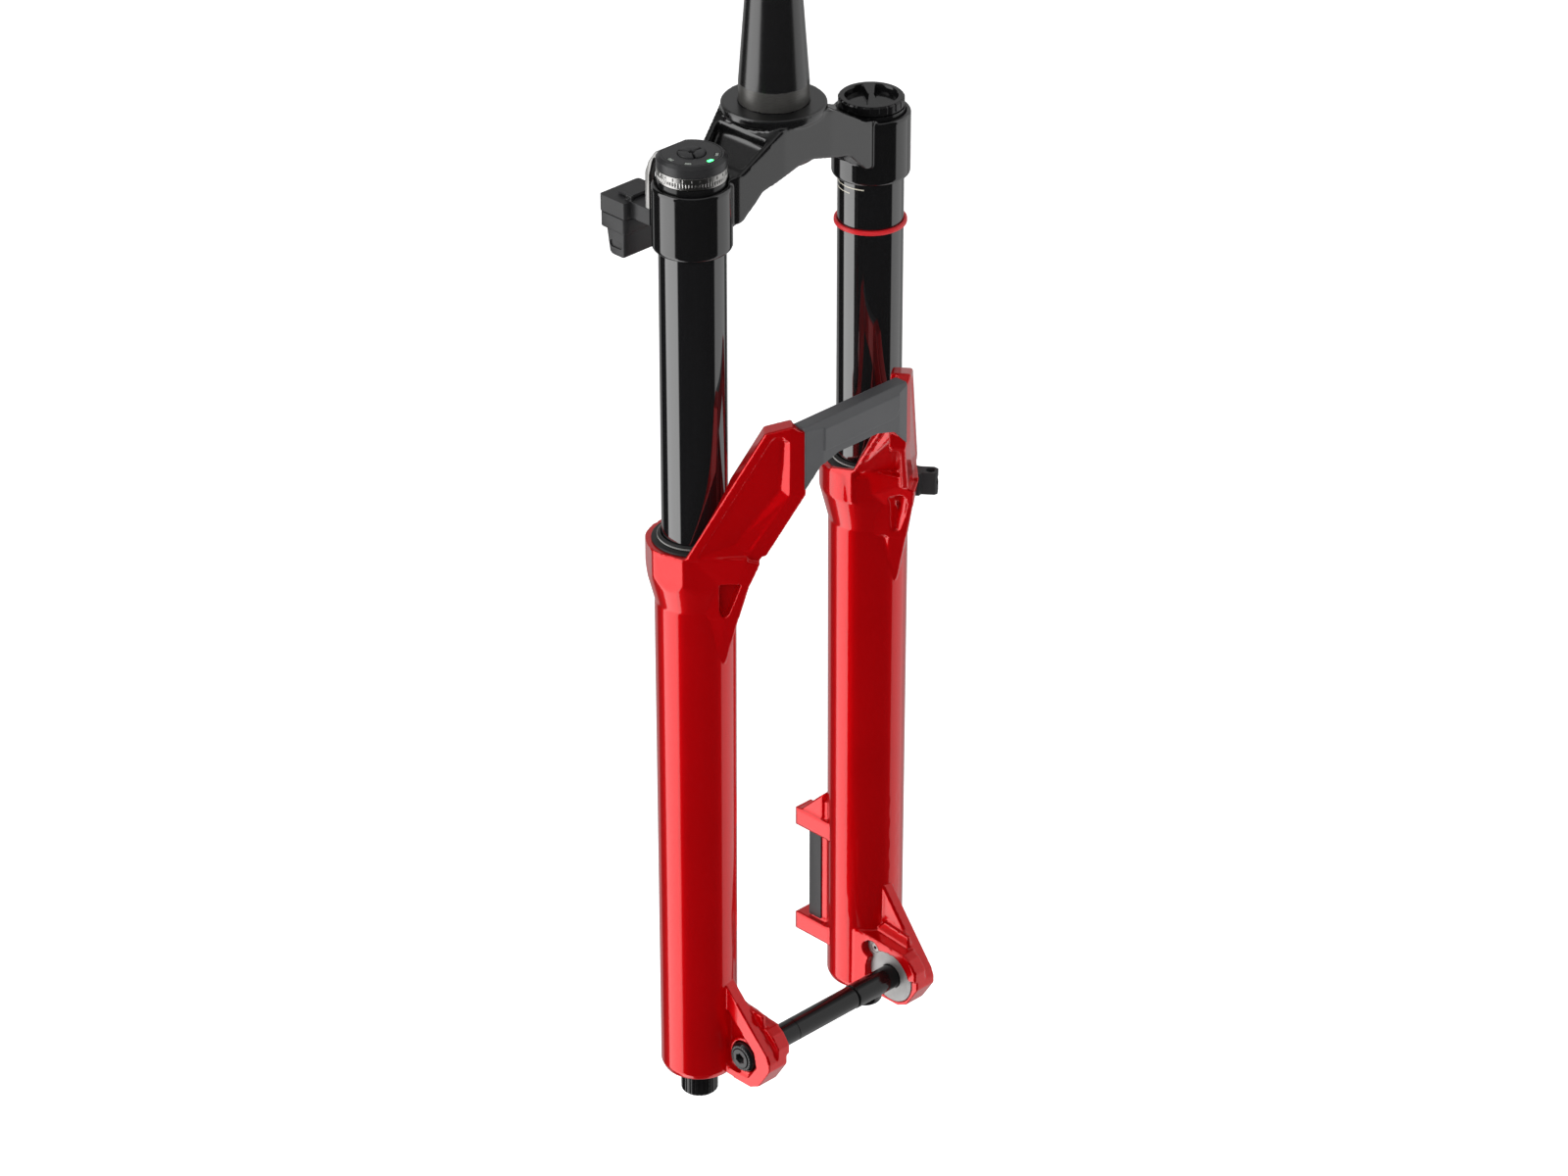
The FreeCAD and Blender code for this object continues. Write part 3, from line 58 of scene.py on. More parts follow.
MM = 0.001


# ---------------------------------------------------------------- places read from the frame

def corner(node, side):
    """A CAD node's lowest (0) or highest (1) corner, in millimetres."""
    return np.array(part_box(node)[side]) / MM


def middle(node):
    """The middle of a CAD node's box."""
    return (corner(node, 0) + corner(node, 1)) / 2


def span(node, axis=2):
    """A CAD node's lowest and highest place along one axis."""
    return corner(node, 0)[axis], corner(node, 1)[axis]


def half_size(node, axis=0):
    """Half of a CAD node's size along one axis: the outer radius of a turned piece."""
    low, high = span(node, axis)
    return (high - low) / 2


RIGHT = middle("right_stanchion")[:2]
LEFT = middle("left_stanchion")[:2]
AXLE = middle("axle")[[0, 2]]
TUBE = half_size("right_stanchion")

# the casting's levels and outside radii, and where its pieces meet
COLLAR_TOP, COLLAR, COLLAR_FOOT = -245.6, 28.7, -262.6
TAPER_FOOT, LEG_HIGH, LEG_LOW, LEG_BORE = -283.6, 23.4, 22.7, 20.33
LEG_FOOT = span("lowers_casting")[0]
ARCH_SEAM, RIGHT_SEAM, LEFT_SEAM = -325, -520, -465
HUB_FACE, SEAL, AXLE_SIZE = 55, 48, 15
# inside a collar: the foam ring's room with the step below it, and the seal's with its shelf
FOAM_ROOM, FOAM_STEP = 22, COLLAR_TOP - 16
SEAL_ROOM, SEAL_SHELF = 24.1, COLLAR_TOP - 9.8
ARCH_FRONT, ARCH_HALF, ARM_ANGLE = 67.5, 41.3, math.radians(50.3)

# crown, steerer and module
SOCKET, SOCKET_TOP = 22.5, -25
SEAT_SIZE, SEAT_LOW, SEAT_HIGH, TAPER_END = 39.8, 0, 12, 87
STEERER_SIZE, STEERER_BORE = 28.6, 22
PAD, WINDOWS, LIT = 15.4, (-98, -52, 2, 38), 2
BAR_TURN = 130
SAG_MARKS = ((-67.5, -4), (-71, -12))

REACH = 400     # beyond every piece, for tools that cut the fork in parts
CENTRE = 0.01   # the radius at which a turned outline closes on its axis
CREASE = 40     # an edge that turns by more degrees than this stays sharp
SHELL_CREASE = 55


# ---------------------------------------------------------------- making meshes

def linked(name, data):
    """An object in the scene for a mesh, a lamp or a camera."""
    item = bpy.data.objects.new(name, data)
    bpy.context.scene.collection.objects.link(item)
    return item


def mesh_of(shell, name):
    """A new mesh from an edited shell, which is then done with."""
    mesh = bpy.data.meshes.new(name)
    shell.to_mesh(mesh)
    shell.free()
    return mesh


def mesh_piece(name, points, faces, crease=CREASE):
    """A mesh object from points in millimetres, smooth but for edges that turn more than crease degrees."""
    mesh = bpy.data.meshes.new(name)
    mesh.from_pydata(np.asarray(points, float) * MM, [], faces)
    piece = linked(name, mesh)
    tidy_normals(piece, crease)
    return piece


def tidy_normals(piece, crease=CREASE):
    """Welds doubles, drops faces without area, points the shell outwards and marks its sharp edges."""
    shell = bmesh.new()
    shell.from_mesh(piece.data)
    bmesh.ops.remove_doubles(shell, verts=shell.verts, dist=1e-6)
    bmesh.ops.dissolve_degenerate(shell, dist=1e-7, edges=shell.edges)
    bmesh.ops.recalc_face_normals(shell, faces=shell.faces)
    shell.to_mesh(piece.data)
    shell.free()
    piece.data.shade_smooth()
    piece.data.set_sharp_from_angle(angle=math.radians(crease))


def joined(name, pieces):
    """Several pieces as one object."""
    shell = bmesh.new()
    for piece in pieces:
        shell.from_mesh(piece.data)
        bpy.data.objects.remove(piece)
    mesh = mesh_of(shell, name)
    result = linked(name, mesh)
    mesh.shade_smooth()
    mesh.set_sharp_from_angle(angle=math.radians(CREASE))
    return result


def rounded(outline, steps=4):
    """The outline with each corner (across, up, radius) turned into an arc that is tangent to both sides."""
    corners = [np.array(point[:2], float) for point in outline]
    result = []
    for index, point in enumerate(outline):
        here, before, after = corners[index], corners[index - 1], corners[(index + 1) % len(corners)]
        radius = point[2] if len(point) > 2 else 0
        back, ahead = before - here, after - here
        sides = np.linalg.norm(back), np.linalg.norm(ahead)
        if radius <= 0 or min(sides) < 1e-6:
            result.append(here)
            continue
        back, ahead = back / sides[0], ahead / sides[1]
        half = math.acos(np.clip(back @ ahead, -1, 1)) / 2
        reach = min(radius / math.tan(half), 0.48 * min(sides)) if half < math.pi / 2 - 1e-3 else 0
        if reach <= 0:
            result.append(here)
            continue
        share = np.linspace(0, 1, steps + 1)[:, None]
        start, end = here + back * reach, here + ahead * reach
        first, second, third = (1 - share) ** 2, 2 * math.sin(half) * share * (1 - share), share ** 2
        result.extend((first * start + second * here + third * end) / (first + second + third))
    return np.array(result)


def dense(profile, step):
    """A closed profile with points added along its sides, none more than a step apart."""
    sides = []
    for start, end in zip(profile, np.roll(profile, -1, 0)):
        count = max(1, math.ceil(np.linalg.norm(end - start) / step))
        sides.append(start + (end - start) * np.arange(count)[:, None] / count)
    return np.concatenate(sides)


def grid_faces(rows, columns, ring=True, closed=True):
    """Quads of a rows-by-columns grid: ring joins its last row to the first, closed its last column."""
    down = np.arange(rows if ring else rows - 1)[:, None]
    along = np.arange(columns if closed else columns - 1)[None, :]
    next_down, next_along = (down + 1) % rows, (along + 1) % columns
    quads = [down * columns + along, down * columns + next_along,
             next_down * columns + next_along, next_down * columns + along]
    return np.stack(np.broadcast_arrays(*quads), -1).reshape(-1, 4).tolist()


def frame_of(axis):
    """Two directions across an axis, and the axis itself, as rows; about Z they are X and Y."""
    along = np.array(axis, float) / np.linalg.norm(axis)
    if abs(along[2]) > 0.9:
        return np.diag([along[2], 1.0, along[2]])
    side = np.cross((0, 0, 1), along)
    side /= np.linalg.norm(side)
    return np.array([side, np.cross(along, side), along])


def lathe(name, outline, at, axis=(0, 0, 1), turns=128, shape=None, step=None, crease=CREASE):
    """A closed outline of (radius, station, corner radius) turned about an axis.

    shape(turn, radius, station) gives each point's new radius and station, for flutes, teeth and hollows.
    """
    profile = rounded(outline)
    if step:
        profile = dense(profile, step)
    turn = np.linspace(0, 2 * math.pi, turns, endpoint=False)
    radius = np.broadcast_to(profile[:, :1], (len(profile), turns))
    station = np.broadcast_to(profile[:, 1:], (len(profile), turns))
    if shape:
        radius, station = shape(turn[None, :], radius, station)
    basis = frame_of(axis)
    points = (np.array(at, float) + radius[..., None] * (np.cos(turn)[None, :, None] * basis[0]
              + np.sin(turn)[None, :, None] * basis[1]) + station[..., None] * basis[2])
    return mesh_piece(name, points.reshape(-1, 3), grid_faces(len(profile), turns), crease)


def step_up(value, edge, width):
    """0 well under an edge, 1 well over it, and a smooth step of that width between."""
    share = np.clip((value - edge) / width + 0.5, 0, 1)
    return share * share * (3 - 2 * share)


def turn_from(turn, middle_turn):
    """How far a turn is from a middle one, in degrees, always positive."""
    return np.abs((np.degrees(turn) - middle_turn + 180) % 360 - 180)


def sector(inner, outer, middle_turn, half, steps=14):
    """Outline of a piece of a flat ring: two radii, a middle direction and a half angle in degrees."""
    turn = np.radians(np.linspace(middle_turn - half, middle_turn + half, steps))
    arc = np.stack([np.cos(turn), np.sin(turn)], 1)
    return np.concatenate([arc * outer, arc[::-1] * inner]).tolist()


# the two directions of a level outline, and of one that stands across the fork's side
FLAT, UPRIGHT = ((1, 0, 0), (0, 1, 0)), ((1, 0, 0), (0, 0, 1))


def oblong(low, high, radius):
    """An oblong outline with round corners."""
    return [(low[0], low[1], radius), (high[0], low[1], radius), (high[0], high[1], radius),
            (low[0], high[1], radius)]


def slab(name, outline, at, across, up, depth, soft=0.4, crease=CREASE):
    """A rounded outline in the plane of two directions, pushed along their cross product, with round rims."""
    across, up = np.array(across, float), np.array(up, float)
    out = np.cross(across, up)
    flat = rounded(outline, 5)
    inward = inset(flat, 1)
    step = np.radians(np.linspace(0, 90, 4))
    rims = [(soft * (1 - math.sin(angle)), soft * (1 - math.cos(angle))) for angle in step]
    levels = rims + [(shrink, depth - lift) for shrink, lift in reversed(rims)]
    rings = [np.array(at, float) + (flat + inward * shrink) @ np.array([across, up]) + out * lift
             for shrink, lift in levels]
    count = len(flat)
    faces = grid_faces(len(rings), count, ring=False)
    faces += [list(range(count))[::-1], list(range((len(rings) - 1) * count, len(rings) * count))]
    return mesh_piece(name, np.concatenate(rings), faces, crease)


def inset(flat, amount):
    """For each point of a closed outline, the step that moves both of its sides inwards by amount."""
    before, after = flat - np.roll(flat, 1, 0), np.roll(flat, -1, 0) - flat
    normals = []
    for side in (before, after):
        length = np.linalg.norm(side, axis=1, keepdims=True)
        length[length < 1e-9] = 1
        normals.append(np.stack([-side[:, 1], side[:, 0]], 1) / length)
    turning = np.sum(flat[:, 0] * np.roll(flat[:, 1], -1) - np.roll(flat[:, 0], -1) * flat[:, 1])
    mean = normals[0] + normals[1]
    mean *= 2 / np.maximum(np.sum(mean * mean, 1, keepdims=True), 0.5)
    return mean * amount * (1 if turning > 0 else -1)


def copied(name, node):
    """A welded copy of a CAD node's mesh."""
    piece = NODES[node].copy()
    piece.data = NODES[node].data.copy()
    piece.name = name
    piece.parent = None
    piece.hide_render = piece.hide_viewport = False
    for key in list(piece.keys()):
        del piece[key]
    bpy.context.scene.collection.objects.link(piece)
    tidy_normals(piece)
    return piece


def settled(piece):
    """Turns the piece's modifiers into its mesh."""
    bpy.context.view_layer.update()
    seen = piece.evaluated_get(bpy.context.evaluated_depsgraph_get())
    mesh = bpy.data.meshes.new_from_object(seen)
    piece.modifiers.clear()
    piece.data = mesh
    return piece


def carved(piece, tool, operation="DIFFERENCE"):
    """The piece with a closed tool mesh taken away from it or added to it; the tool goes."""
    step = piece.modifiers.new("carve", "BOOLEAN")
    step.operation, step.solver, step.object = operation, "EXACT", tool
    settled(piece)
    bpy.data.objects.remove(tool)
    return piece


def cast(piece, grid, rounds, crease=60):
    """Rebuilds a shell on an even grid and relaxes it, so that its edges and inner corners are soft."""
    remesh = piece.modifiers.new("even_grid", "REMESH")
    remesh.mode, remesh.voxel_size, remesh.adaptivity = "VOXEL", grid * MM, 0
    relax = piece.modifiers.new("relax", "SMOOTH")
    relax.factor, relax.iterations = 0.5, rounds
    settled(piece)
    piece.data.shade_smooth()
    piece.data.set_sharp_from_angle(angle=math.radians(crease))
    return piece


def on_profile(piece, at, profile, reach=0.5):
    """Brings the points that lie within reach of a turned surface about Z exactly onto it."""
    count = len(piece.data.vertices)
    flat = np.empty(count * 3)
    piece.data.vertices.foreach_get("co", flat)
    points = flat.reshape(-1, 3) / MM
    local = points[:, :2] - np.array(at)[:2]
    distance = np.maximum(np.hypot(*local.T), 1e-6)
    stations, radii = np.array(profile, float).T
    target = np.interp(points[:, 2], stations, radii)
    inside = (points[:, 2] > stations[0]) & (points[:, 2] < stations[-1])
    share = (1 - step_up(np.abs(distance - target), 0.75 * reach, 0.5 * reach)) * inside
    points[:, :2] += local * (share * (target / distance - 1))[:, None]
    piece.data.vertices.foreach_set("co", (points * MM).ravel())
    piece.data.update()
    return piece


def sliced(piece, level, keep_above):
    """Cuts a shell flat at a level and bridges the outer and inner rim of each leg's cut."""
    shell = bmesh.new()
    shell.from_mesh(piece.data)
    cut = bmesh.ops.bisect_plane(shell, geom=list(shell.verts) + list(shell.edges) + list(shell.faces),
                                 plane_co=(0, 0, level * MM), plane_no=(0, 0, 1), clear_outer=not keep_above,
                                 clear_inner=keep_above)
    rims = [item for item in cut["geom_cut"] if isinstance(item, bmesh.types.BMEdge)]
    for side in (-1, 1):
        rim = [edge for edge in rims if edge.verts[0].co.y * side > 0]
        if rim:
            bmesh.ops.bridge_loops(shell, edges=rim)
    bmesh.ops.recalc_face_normals(shell, faces=shell.faces)
    shell.to_mesh(piece.data)
    shell.free()
    piece.data.set_sharp_from_angle(angle=math.radians(SHELL_CREASE))
    return piece


def box_tool(low, high):
    """A plain block between two corners, to cut with."""
    shell = bmesh.new()
    bmesh.ops.create_cube(shell, size=1)
    low, high = np.array(low, float), np.array(high, float)
    for vertex in shell.verts:
        vertex.co = Vector(((low + high) / 2 + np.array(vertex.co) * (high - low)) * MM)
    return linked("block", mesh_of(shell, "block"))


def finished(piece, material, *nodes, body=None):
    """Gives a piece its material, stands it for its CAD nodes and lets it ride on their body."""
    piece.data.materials.clear()
    piece.data.materials.append(material)
    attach(piece, body or BODY_OF[nodes[0]])
    if nodes:
        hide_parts(*nodes)
    return piece


# ---------------------------------------------------------------- making materials

class Wire:
    """A node's output that takes part in Python arithmetic: each operator adds one Math node."""

    def __init__(self, finish, socket):
        self.finish, self.socket = finish, socket

    def math(self, operation, *values):
        """One Math node on these values or links."""
        return self.finish.add("ShaderNodeMath", {"operation": operation}, dict(enumerate(values)))

    def __abs__(self):
        return self.math("ABSOLUTE", self)

    def __add__(self, other):
        return self.math("ADD", self, other)

    def __sub__(self, other):
        return self.math("SUBTRACT", self, other)

    def __rsub__(self, other):
        return self.math("SUBTRACT", other, self)

    def __mul__(self, other):
        return self.math("MULTIPLY", self, other)

    def above(self, edge, width):
        """0 well under an edge, 1 well over it, and a smooth step of that width between."""
        return self.finish.add("ShaderNodeMapRange", {"interpolation_type": "SMOOTHSTEP"},
                               {"Value": self, "From Min": edge - width / 2, "From Max": edge + width / 2})

    __radd__, __rmul__ = __add__, __mul__


class Finish:
    """A material, or the world, under construction."""

    def __init__(self, name, tree=None):
        if tree is None:
            self.material = bpy.data.materials.new(name)
            self.material.use_nodes = True
            tree = self.material.node_tree
        self.tree = tree
        self.shader = next((node for node in tree.nodes if node.type == "BSDF_PRINCIPLED"), None)

    def add(self, kind, settings=None, inputs=None, output=0):
        """Adds a node: its settings first, then each input's value or link. Returns one of its outputs."""
        node = self.tree.nodes.new(kind)
        for key, value in (settings or {}).items():
            setattr(node, key, value)
        for key, value in (inputs or {}).items():
            self.feed(node.inputs[key], value)
        return Wire(self, node.outputs[output])

    def feed(self, socket, value):
        """Links a wire to a socket, or sets the socket to a value."""
        if isinstance(value, Wire):
            self.tree.links.new(value.socket, socket)
        elif socket.type == "RGBA" and len(value) == 3:
            socket.default_value = (*value, 1)
        else:
            socket.default_value = value

    def set(self, **inputs):
        """Feeds the shader's inputs; an underscore in a name stands for a space."""
        for key, value in inputs.items():
            self.feed(self.shader.inputs[key.replace("_", " ")], value)
        return self

    def place(self):
        """The point on the piece, in metres."""
        return self.add("ShaderNodeTexCoord", output="Object")

    def parts(self, vector):
        """The three numbers of a vector."""
        return [self.add("ShaderNodeSeparateXYZ", inputs={0: vector}, output=axis) for axis in range(3)]

    def axes(self):
        """The point on the piece as x, y and z in millimetres."""
        return [part * (1 / MM) for part in self.parts(self.place())]

    def noise(self, size, detail=2.0, roughness=0.5, stretch=(1, 1, 1)):
        """Cloudy noise whose patches are about size millimetres across."""
        mapping = self.add("ShaderNodeMapping", inputs={"Vector": self.place(), "Scale": stretch})
        return self.add("ShaderNodeTexNoise", inputs={
            "Vector": mapping, "Scale": 1 / (size * MM), "Detail": detail, "Roughness": roughness})

    def blend(self, share, first, second):
        """One colour turning into another."""
        return self.add("ShaderNodeMix", {"data_type": "RGBA"}, {0: share, 6: first, 7: second}, output=2)

    def bump(self, height, depth):
        """A bump of that many millimetres."""
        return self.add("ShaderNodeBump", inputs={"Height": height, "Distance": depth * MM, "Strength": 1.0})


# ---------------------------------------------------------------- finishes

def candy_red():
    """Metallic red under clear lacquer: fine bright flakes below a smooth coat."""
    finish = Finish("candy_red")
    flake = finish.noise(0.32, 1).above(0.63, 0.16)
    cloud = finish.noise(45, 2)
    shade = finish.blend(cloud, (0.56, 0.0002, 0.002), (0.66, 0.0004, 0.003))
    grain = finish.bump(finish.noise(0.3, 1), 0.003)
    return finish.set(
        Base_Color=finish.blend(flake * 0.3, shade, (1.0, 0.03, 0.04)), Metallic=0.6,
        Specular_IOR_Level=0.0, Roughness=0.34 - flake * 0.08, Coat_Weight=1.0, Coat_Roughness=0.02,
        Coat_IOR=1.5, Normal=grain).material


def satin_black(name="satin_black", shade=0.006, roughness=0.24, edge=0.02):
    """Shot-peened and anodised forging: near black, with a fine even grain and rubbed high spots."""
    finish = Finish(name)
    grain = finish.noise(0.45, 3)
    cloud = finish.noise(14, 3)
    base = finish.blend(cloud, (shade, shade, shade * 1.04), (shade * 1.7, shade * 1.7, shade * 1.78))
    return finish.set(
        Base_Color=finish.blend(grain.above(0.68, 0.1) * 0.4, base, (edge, edge, edge)),
        Roughness=roughness + grain * 0.12, Normal=finish.bump(grain, 0.006), IOR=1.5).material


def crown_black():
    """Anodised forging: satin on the hub's flange, glossier down the beams and polished round the sockets."""
    finish = Finish("crown_black")
    x, y, z = finish.axes()
    across = abs(y) - LEFT[1]
    reach = (x - LEFT[0]) * (x - LEFT[0]) + across * across
    socket = 1 - reach.above((SOCKET + 0.6) ** 2, 30)
    flange = z.above(-1.5, 1)
    grain = finish.noise(0.45, 3)
    cloud = finish.noise(14, 3)
    base = finish.blend(cloud, (0.0035, 0.0035, 0.0037), (0.0055, 0.0055, 0.0058))
    return finish.set(
        Base_Color=finish.blend(grain.above(0.68, 0.1) * 0.3, base, (0.018, 0.018, 0.019)),
        Roughness=0.16 + grain * 0.06 - socket * 0.1 + flange * 0.14, Normal=finish.bump(grain, 0.004),
        IOR=1.85).material


TUBE_TONES = ((0.004, 0.004, 0.0045), (0.007, 0.007, 0.0075))


def gloss_black():
    """Hard-anodised and polished tube, with the faint lengthwise lines of its grinding."""
    finish = Finish("gloss_black")
    lines = finish.noise(1.2, 2, stretch=(1, 1, 0.02))
    return finish.set(Base_Color=finish.blend(lines, *TUBE_TONES), Roughness=0.07, IOR=2.1).material


def race_seat_black():
    """Steerer finish: satin black, left bare and brushed where the bearing race is pressed on."""
    finish = Finish("steerer_finish")
    height = finish.axes()[2]
    ragged = height + (finish.noise(5, 4) - 0.5) * 1.4
    bare = ragged.above(SEAT_LOW + 0.4, 0.5) * (1 - ragged.above(SEAT_HIGH, 1.2))
    grain = finish.noise(0.5, 3)
    lines = finish.noise(0.35, 2, stretch=(0.08, 0.08, 1))
    metal = finish.blend(lines, (0.06, 0.058, 0.055), (0.13, 0.127, 0.12))
    black = finish.blend(grain, (0.005, 0.005, 0.0052), (0.008, 0.008, 0.0085))
    return finish.set(
        Base_Color=finish.blend(bare, black, metal),
        Metallic=bare * 0.6, Roughness=0.17 + grain * 0.07 + bare * 0.16, IOR=1.8,
        Normal=finish.bump(grain, 0.005)).material


def marked_tube():
    """Gloss black left tube with the fine pale sag lines on its front."""
    finish = Finish("marked_tube")
    x, y, z = finish.axes()
    lines = finish.noise(1.2, 2, stretch=(1, 1, 0.02))
    facing = (x - LEFT[0] - (y - LEFT[1])) * (1 / math.sqrt(2))
    aside = (x - LEFT[0] + (y - LEFT[1])) * (1 / math.sqrt(2))
    shown = None
    for level, end in SAG_MARKS:
        line = (1 - abs(z - level).above(0.3, 0.2)) * (1 - aside.above(end, 0.3))
        shown = line if shown is None else shown + line
    shown = shown * facing.above(0, 0.5)
    base = finish.blend(lines, *TUBE_TONES)
    return finish.set(Base_Color=finish.blend(shown, base, (0.62, 0.58, 0.47)),
                      Roughness=0.05 + lines * 0.05 + shown * 0.3, IOR=2.1).material


def satin_grey():
    """Painted dark grey of the arch cover."""
    finish = Finish("satin_grey")
    grain = finish.noise(0.5, 3)
    paint = finish.blend(finish.noise(20, 3), (0.056, 0.057, 0.06), (0.072, 0.073, 0.077))
    return finish.set(Base_Color=paint, Roughness=0.3 + grain * 0.12, Normal=finish.bump(grain, 0.008),
                      IOR=1.6).material


def moulded_black(name="moulded_black", shade=0.016, roughness=0.4):
    """Moulded plastic with a fine spark-eroded texture."""
    finish = Finish(name)
    grain = finish.noise(0.35, 3)
    return finish.set(Base_Color=finish.blend(grain, (shade, shade, shade * 1.05),
                                              (shade * 1.7, shade * 1.7, shade * 1.8)),
                      Roughness=roughness + grain * 0.14, Normal=finish.bump(grain, 0.02)).material


def rubber_black():
    """Nitrile rubber of the seals."""
    finish = Finish("rubber_black")
    grain = finish.noise(0.8, 3)
    return finish.set(Base_Color=finish.blend(grain, (0.008, 0.008, 0.008), (0.016, 0.016, 0.016)),
                      Roughness=0.42 + grain * 0.15).material


def rubber_red():
    """Red silicone of the sag ring."""
    finish = Finish("rubber_red")
    grain = finish.noise(0.8, 2)
    return finish.set(Base_Color=finish.blend(grain, (0.5, 0.006, 0.01), (0.65, 0.012, 0.02)),
                      Roughness=0.38).material


def bright_alloy(name="bright_alloy", shade=0.62, roughness=0.22, stretch=(0.05, 0.05, 1)):
    """Turned aluminium or steel with fine tool lines."""
    finish = Finish(name)
    lines = finish.noise(0.25, 2, stretch=stretch)
    tone = (shade, shade * 0.985, shade * 0.96)
    return finish.set(Base_Color=finish.blend(lines, tuple(0.8 * part for part in tone), tone), Metallic=1.0,
                      Roughness=roughness + lines * 0.14).material


def blasted_steel():
    """Bead-blasted stainless steel of the axle insert."""
    finish = Finish("blasted_steel")
    grain = finish.noise(0.4, 4)
    cloud = finish.noise(7, 3)
    return finish.set(Base_Color=finish.blend(cloud, (0.32, 0.315, 0.31), (0.46, 0.455, 0.45)), Metallic=0.85,
                      Roughness=0.42 + grain * 0.2, Normal=finish.bump(grain, 0.02)).material


def glowing_window(name, colour, strength):
    """A small moulded window, lit from inside more at its middle; on a window whose light is off, this faint
    glow is painted light.
    """
    finish = Finish(name)
    cloud = finish.noise(1.5, 2)
    deep = tuple(0.6 * part for part in colour)
    return finish.set(Base_Color=finish.blend(cloud, deep, colour), Roughness=0.25,
                      Emission_Color=finish.blend(cloud, deep, colour), Emission_Strength=strength).material


def coloured(name, low, high, metallic, roughness, grain=0.5):
    """A plain engineering finish with a little variation."""
    finish = Finish(name)
    cloud = finish.noise(grain, 3)
    return finish.set(Base_Color=finish.blend(cloud, low, high), Metallic=metallic,
                      Roughness=roughness + cloud * 0.1).material


RED = candy_red()
FORGED = satin_black()
CROWN = crown_black()
STEERER = race_seat_black()
TUBE_BLACK = gloss_black()
MARKED_BLACK = marked_tube()
GREY = satin_grey()
MOULDED = moulded_black()
MODULE_GREY = moulded_black("module_grey", 0.013, 0.28)
CHARCOAL = moulded_black("charcoal", 0.011, 0.34)
AXLE_BLACK = satin_black("axle_black", 0.004, 0.05, 0.012)
RUBBER = rubber_black()
RED_RUBBER = rubber_red()
ALLOY = bright_alloy("alloy", 0.42, 0.3)
RING_ALLOY = bright_alloy("ring_alloy", 0.55, 0.26, (0.2, 0.2, 1))
STEEL = bright_alloy("bright_steel", 0.5, 0.3)
INSERT_STEEL = blasted_steel()
# the unlit indicator windows: a faint painted glow, though their lights are off
DIM_GLOW_WINDOW = glowing_window("window", (0.3, 0.33, 0.3), 0.05)
LIT_WINDOW = glowing_window("lit_window", (0.05, 1.0, 0.16), 7.0)

# finishes of the CAD nodes that stay as they are, by the record's slots
SLOT_FINISH = {
    "forged_black": FORGED, "steerer_black": STEERER, "tube_black": TUBE_BLACK, "red_paint": RED,
    "arch_grey": GREY, "machined_silver": ALLOY, "black_plastic": MOULDED, "battery_plastic": CHARCOAL,
    "indicator": DIM_GLOW_WINDOW, "seal_rubber": RUBBER, "red_rubber": RED_RUBBER, "spring_steel": STEEL,
    "insert_steel": INSERT_STEEL, "inner_alloy": ALLOY,
    "bushing": coloured("bushing", (0.3, 0.22, 0.1), (0.42, 0.33, 0.18), 0.8, 0.4),
    "foam": coloured("oiled_foam", (0.1, 0.1, 0.11), (0.2, 0.2, 0.21), 0.0, 0.9),
    "shaft_black": TUBE_BLACK, "axle_black": AXLE_BLACK,
    "token_red": coloured("token_red", (0.4, 0.02, 0.02), (0.5, 0.04, 0.04), 0.0, 0.3),
    "copper": coloured("copper", (0.6, 0.25, 0.13), (0.75, 0.36, 0.2), 1.0, 0.3),
}


def carried_over():
    """The CAD nodes keep their shapes and get their finishes."""
    for name, node in NODES.items():
        node.data.materials.clear()
        node.data.materials.append(SLOT_FINISH[SLOT_OF[name]])


# ---------------------------------------------------------------- camera, floor and light

SIGHT = {"lens": 129.48, "bearing": 45.24, "height": 29.03, "distance": 3.2407,
         "target": (0.02107, -0.013, -0.29556)}
FLOOR_SIZE, FLOOR_LEVEL, BACKDROP = 30, -2.5, 1.0


def heading(bearing, height):
    """The direction that lies at a bearing from the front's right and a height, both in degrees."""
    bearing, height = math.radians(bearing), math.radians(height)
    return Vector((math.sin(bearing) * math.cos(height), -math.cos(bearing) * math.cos(height),
                   math.sin(height)))


def camera():
    """A long lens from the front right, above the fork."""
    data = bpy.data.cameras.new("camera")
    data.sensor_width, data.lens, data.clip_end = 36, SIGHT["lens"], 60
    eye = linked("camera", data)
    back = heading(SIGHT["bearing"], SIGHT["height"])
    eye.location = Vector(SIGHT["target"]) + back * SIGHT["distance"]
    eye.rotation_euler = back.to_track_quat("Z", "Y").to_euler()
    bpy.context.scene.camera = eye


def floor():
    """A wide pale floor, far enough below that the fork's shadow doesn't reach the picture."""
    mesh = bpy.data.meshes.new("floor")
    mesh.from_pydata([(x * FLOOR_SIZE, y * FLOOR_SIZE, FLOOR_LEVEL) for x, y in
                      ((-1, -1), (1, -1), (1, 1), (-1, 1))], [], [(0, 1, 2, 3)])
    ground = linked("floor", mesh)
    finish = Finish("pale_floor").set(Base_Color=(0.8, 0.8, 0.8), Roughness=1.0,
                                      Emission_Color=(1, 1, 1), Emission_Strength=0.85)
    mesh.materials.append(finish.material)
    ground.visible_glossy = False


# soft panels: (bearing from the camera's, half width, lowest, highest, strength), angles in degrees
PANELS = ((-76, 26, -80, 50, 2.1), (105, 28, -80, 50, 0.75), (180, 45, -80, 40, 0.4))
# diffuse fills, which leave no reflections: (bearing from the camera's, height, watts)
FILLS = ((-12, 30, 62), (170, 35, 44))
FILL_SIZE, FILL_DISTANCE = 2.2, 3


